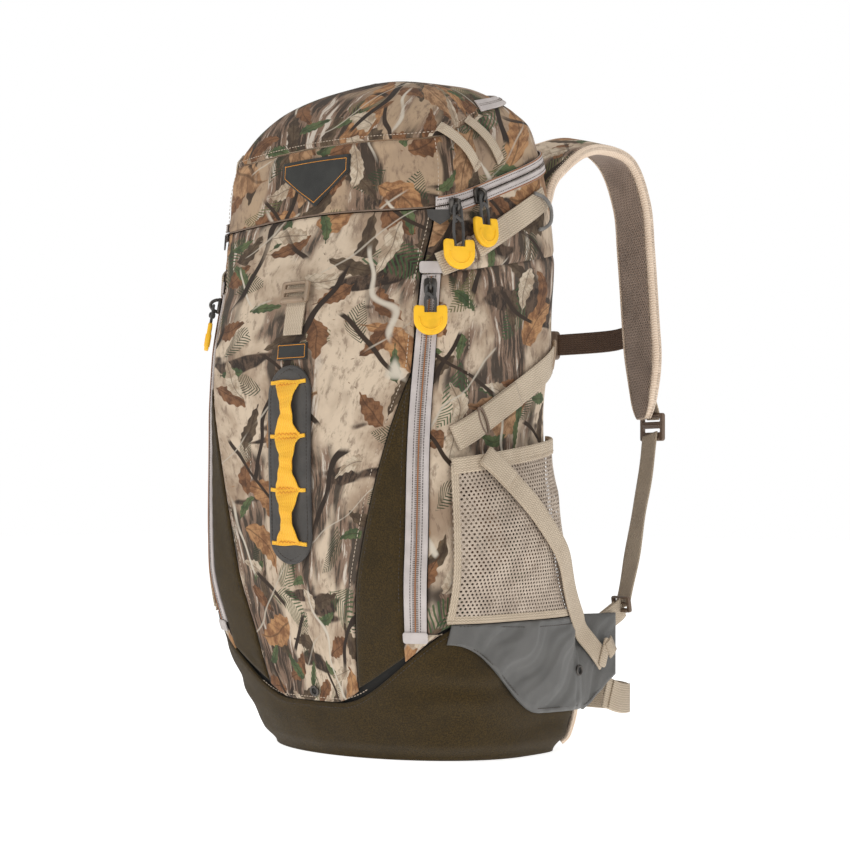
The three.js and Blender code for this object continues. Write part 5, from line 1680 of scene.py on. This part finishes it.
# ------------------------------------------------------------------ haul loop
y0 = yoke_y(19, 432.0)
half = [[19, y0 - 0.3], [18, y0 + 10], [12, y0 + 18]]
path = curve_through([[-x, y, 440] for x, y in half] + [[0, y0 + 20, 440]]
                     + [[x, y, 440] for x, y in half[::-1]], 90)
out = unit(np.cross(tangents(path), np.array([0, 0, 1.0])))
loop = Mesh()
pinch = 16 - 4.5 * np.exp(-((np.linspace(-1, 1, 90)) / 0.32) ** 2)
band(loop, path, out, pinch, 2.3, wave=0.5, seed=95)
finish_pair(loop, "haul_loop", "grab_loop", ["haul_loop"], False, tan_web)


# ------------------------------------------------------------------ zip sliders and pulls
def slider(name, body, node, turn, v, lift):
    at, right, up, out = basis(turn, v, lift)
    mesh = Mesh()
    wedge = [(-3.6, -6.4), (3.6, -6.4), (4.6, -4.5), (5.0, 2.0), (4.4, 5.4), (2.2, 6.5),
             (-2.2, 6.5), (-4.4, 5.4), (-5.0, 2.0), (-4.6, -4.5)]
    plate(mesh, wedge, at, right, up, 2.2, 0.5)
    arch = [at + up * y + out * (1.6 + 6.3 * math.sin(math.pi * (y + 5) / 10) ** 0.55) for y in
            np.linspace(-5, 5, 20)]
    tube(mesh, arch, 1.35, sides=8, squash=0.8, up=right)
    made = mesh.object(name, dark_metal)
    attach(made, body)
    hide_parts(node)


def pull(name, body, node, turn, v, lift, drop):
    """An orange D-shaped tab with a notch and a raised line, hung on a dark cord loop."""
    at, right, up, out = basis(turn, v, lift + 5.3)
    mesh = Mesh()
    outline = [(4.5, -5), (4.5, -1), (5.5, 0.1), (10.5, 0.4), (12, -0.6), (12.5, -3)]
    outline += [(12.5 * math.cos(b), -9.5 + 12.5 * math.sin(b))
                for b in np.linspace(0, -math.pi, 24)]
    outline += [(-12.5, -3), (-12, -0.6), (-10.5, 0.4), (-5.5, 0.1), (-4.5, -1), (-4.5, -5)]
    outline = outline[::-1]
    top = at - up * drop - out * 1.75
    plate(mesh, outline, top, right, up, 3.5, 0.9)
    for side in (1, -1):
        raised = [top + right * 8.3 * math.cos(b) + up * (-9.8 + 8.3 * math.sin(b))
                  + out * (3.5 if side > 0 else 0.0)
                  for b in np.linspace(0.12, -math.pi - 0.12, 30)]
        tube(mesh, raised, 0.7, sides=6, up=out)
    first = mesh.count
    cord = curve_through([at + right * x - up * z for x, z in (
        (-2.9, drop + 7), (-3.9, drop * 0.74), (-3.1, 8), (-3.0, 3.4), (-2.7, 1.7), (-1.6, 0.5),
        (0, 0.2), (1.6, 0.5), (2.7, 1.7), (3.0, 3.4), (3.1, 8), (3.9, drop * 0.74),
        (2.9, drop + 7))], 60)
    tube(mesh, cord, 1.15, sides=8, up=out)
    knot = [at - up * (max(8.4, drop * 0.4) + 1.5 * math.sin(2 * b)) + right * 2.6 * math.cos(b)
            + out * 1.6 * math.sin(b) for b in np.linspace(0, 2 * math.pi, 26, endpoint=False)]
    tube(mesh, knot, 1.15, sides=8, up=up, closed=True)
    mesh.slots = [0 if f[0] < first else 1 for f in mesh.faces]
    made = mesh.object(name, rubber, cord_dark)
    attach(made, body)
    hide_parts(node)


V_SIDE = ZIP_TOP - 10
for word, sign in (("right", 1), ("left", -1)):
    turn = sign * (zip_turn(V_SIDE) + ZIP_TURN / 2)
    slider("side_slider_" + word, "zip_slider_" + word, f"side_{word}_slider", turn, V_SIDE, 1.1)
    pull("side_tab_" + word, "zip_tab_" + word, f"side_{word}_pull", turn, V_SIDE, 1.1, 16)
slider("lid_slider_front", "rim_slider_front", "lid_front_slider", 59, HEIGHT - 3, 2.8)
pull("lid_tab_front", "rim_tab_front", "lid_front_pull", 59, HEIGHT - 3, 2.8, 26)
slider("lid_slider_rear", "rim_slider_rear", "lid_rear_slider", 78, HEIGHT - 1, 2.8)
pull("lid_tab_rear", "rim_tab_rear", "lid_rear_pull", 78, HEIGHT - 1, 2.8, 18)

# Zip ends: a round garage over each closed end, and a corner patch under the lid's front one.
ends = Mesh()
for turn, v in ((zip_turn(372.0) + ZIP_TURN / 2, 374.0), (zip_turn(100.0) + 4, 97.5)):
    at, right, up, out = basis(turn, v, 0.3)
    plate(ends, oblong(19, 9, 2.2), at, right, up, 1.5, 0.5)
finish_pair(ends, "zip_ends", "pack", None, True, tape)
ends = Mesh()
for turn in (51.5, -51.5):
    at, right, up, out = basis(turn, HEIGHT - 6.0, 1.6)
    plate(ends, [(-9, 3.4), (-8, -2.5), (1, -8), (8.5, -3), (9, 3.4)], at, right, up, 1.3, 0.4)
finish_pair(ends, "rim_zip_corner", "pack", None, False, charcoal)

# ------------------------------------------------------------------ padded back
t, s = np.meshgrid(np.linspace(0, 1, 150), np.linspace(0, 1, 110), indexing="ij")
turn, v = mix(138.4, 221.6, s), mix(PAD_BOTTOM, PAD_TOP, t)
base, out = on_skin(turn, v), normal_at(turn, v)
crown = np.minimum(1, 5 * np.minimum(s, 1 - s)) * np.minimum(1, 8 * np.minimum(t, 1 - t))
x = base[..., 0]
middle = np.exp(-(x / 9) ** 2) * 0.75
cross = sum(np.exp(-((v - high) / 5) ** 2) for high in (140, 217, 294)) * 0.55
cross = cross * smooth((np.abs(x) - 12) / 8)
edge = np.minimum(np.minimum(s, 1 - s) * 215, np.minimum(t, 1 - t) * 310)
puff = PAD * smooth(crown) * (1 - np.clip(middle + cross, 0, 0.8)) + 0.35 * rumple(base, 32, 14)
puff *= smooth(edge / 5)
back = Mesh()
shell(back, base + out * puff[..., None], base - out * 2.0)
back.spots[-1] = back.spots[-1][:, ::-1]
back_objects = finish_pair(back, "back_pad", "pack", ["back_pad"], False, pad_mesh)
trim = Mesh()
rim = np.concatenate([np.linspace((139.4, 64), (139.4, 370), 60),
                      np.linspace((140, 371), (220, 371), 40),
                      np.linspace((220.6, 370), (220.6, 64), 60),
                      np.linspace((220, 63), (140, 63), 40)])
p, o = line_on(rim[:, 0], rim[:, 1], 0.9)
tube(trim, p, 1.7, sides=8, up=o, closed=True)
finish_pair(trim, "back_piping", "pack", None, False, tan_web)

# ------------------------------------------------------------------ small trim
bits = Mesh()
v_pipe = np.linspace(7, 56, 40)
p, o = line_on(128, v_pipe, 0.6)
tube(bits, p, 2.3, sides=10, up=o)
finish_pair(bits, "boot_piping", "pack", None, True, binding)
bits = Mesh()
turn, v = side_place(np.array([60.0, 70, 77, 76, 70, 64]),
                     np.array([437.0, 434, 427, 416, 411, 409]))
p = curve_through(skin(turn, np.minimum(v, 418), np.array([3.2, 5.5, 6.4, 6.0, 4.2, 2.4])), 40)
tube(bits, p, 1.5, sides=8)
finish_pair(bits, "cord_loops", "pack", None, True, cord_grey)
bits = Mesh()
turn, v = side_place(np.array(93.0), np.array(314.0))
at, right, up, out = basis(float(turn), float(v), 1.6)
hoop = [at + right * 3.6 * math.cos(b) + up * 11 * math.sin(b) + out * 1.2 for b in
        np.linspace(0, 2 * math.pi, 40, endpoint=False)]
tube(bits, hoop, 1.5, sides=8, up=out, closed=True)
finish_pair(bits, "side_rings", "pack", None, True, tan_plastic)
hinge_turn = np.linspace(-50, 50, 80)
bits = Mesh()
tube(bits, line_on(hinge_turn, 0 * hinge_turn + HEIGHT + 0.9, -1.0)[0], 0.75, sides=8)
finish_pair(bits, "lid_front_seam", "lid", None, False, dark_tan)


# ------------------------------------------------------------------ model nodes that stay
KEPT = {"liner_bag": lining, "frame_sheet": board, "water_sleeve": lining, "lid_floor": lining}
for node, material in KEPT.items():
    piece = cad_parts[node]
    piece.data.materials.clear()
    piece.data.materials.append(material)

# ------------------------------------------------------------------ studio
world = bpy.data.worlds.new("studio_air")
scene.world = world
world.use_nodes = True
air = world.node_tree
air.nodes.clear()
path = air.nodes.new("ShaderNodeLightPath")
soft, white = air.nodes.new("ShaderNodeBackground"), air.nodes.new("ShaderNodeBackground")
soft.inputs[0].default_value, soft.inputs[1].default_value = (1.0, 0.99, 0.97, 1), 0.36
white.inputs[0].default_value, white.inputs[1].default_value = (1, 1, 1, 1), 1.0
pick, end = air.nodes.new("ShaderNodeMixShader"), air.nodes.new("ShaderNodeOutputWorld")
air.links.new(path.outputs["Is Camera Ray"], pick.inputs[0])
air.links.new(soft.outputs[0], pick.inputs[1])
air.links.new(white.outputs[0], pick.inputs[2])
air.links.new(pick.outputs[0], end.inputs[0])


def lamp(name, place, target, size, power, colour=(1, 1, 1)):
    light = bpy.data.lights.new(name, "AREA")
    light.shape = "DISK"
    light.size, light.energy, light.color = size, power, colour
    made = bpy.data.objects.new(name, light)
    made.location = place
    made.rotation_euler = (Vector(target) - Vector(place)).to_track_quat("-Z", "Y").to_euler()
    scene.collection.objects.link(made)


lamp("key", (-0.6, -1.7, 1.5), (0, 0, 0.25), 1.0, 12.5, (1.0, 0.98, 0.95))
lamp("fill", (1.9, -0.4, 0.8), (0, 0, 0.25), 1.2, 6.4)
lamp("top", (0.3, 0.5, 1.9), (0, 0, 0.3), 1.2, 6.0)

ground = bpy.data.meshes.new("floor")
FLOOR_REACH, FLOOR_HEIGHT = 6, -0.0005
ground.from_pydata([(x * FLOOR_REACH, y * FLOOR_REACH, FLOOR_HEIGHT)
                    for x, y in ((-1, -1), (1, -1), (1, 1), (-1, 1))], [], [(0, 1, 2, 3)])
floor = bpy.data.objects.new("floor", ground)
scene.collection.objects.link(floor)
paper = bpy.data.materials.new("white_paper")
paper.use_nodes = True
sheet_look = paper.node_tree.nodes["Principled BSDF"]
sheet_look.inputs["Base Color"].default_value = (0.9, 0.9, 0.9, 1)
sheet_look.inputs["Roughness"].default_value = 1.0
sheet_look.inputs["Specular IOR Level"].default_value = 0.0
sheet_look.inputs["Emission Color"].default_value = (1, 1, 1, 1)
sheet_look.inputs["Emission Strength"].default_value = 0.8
ground.materials.append(paper)
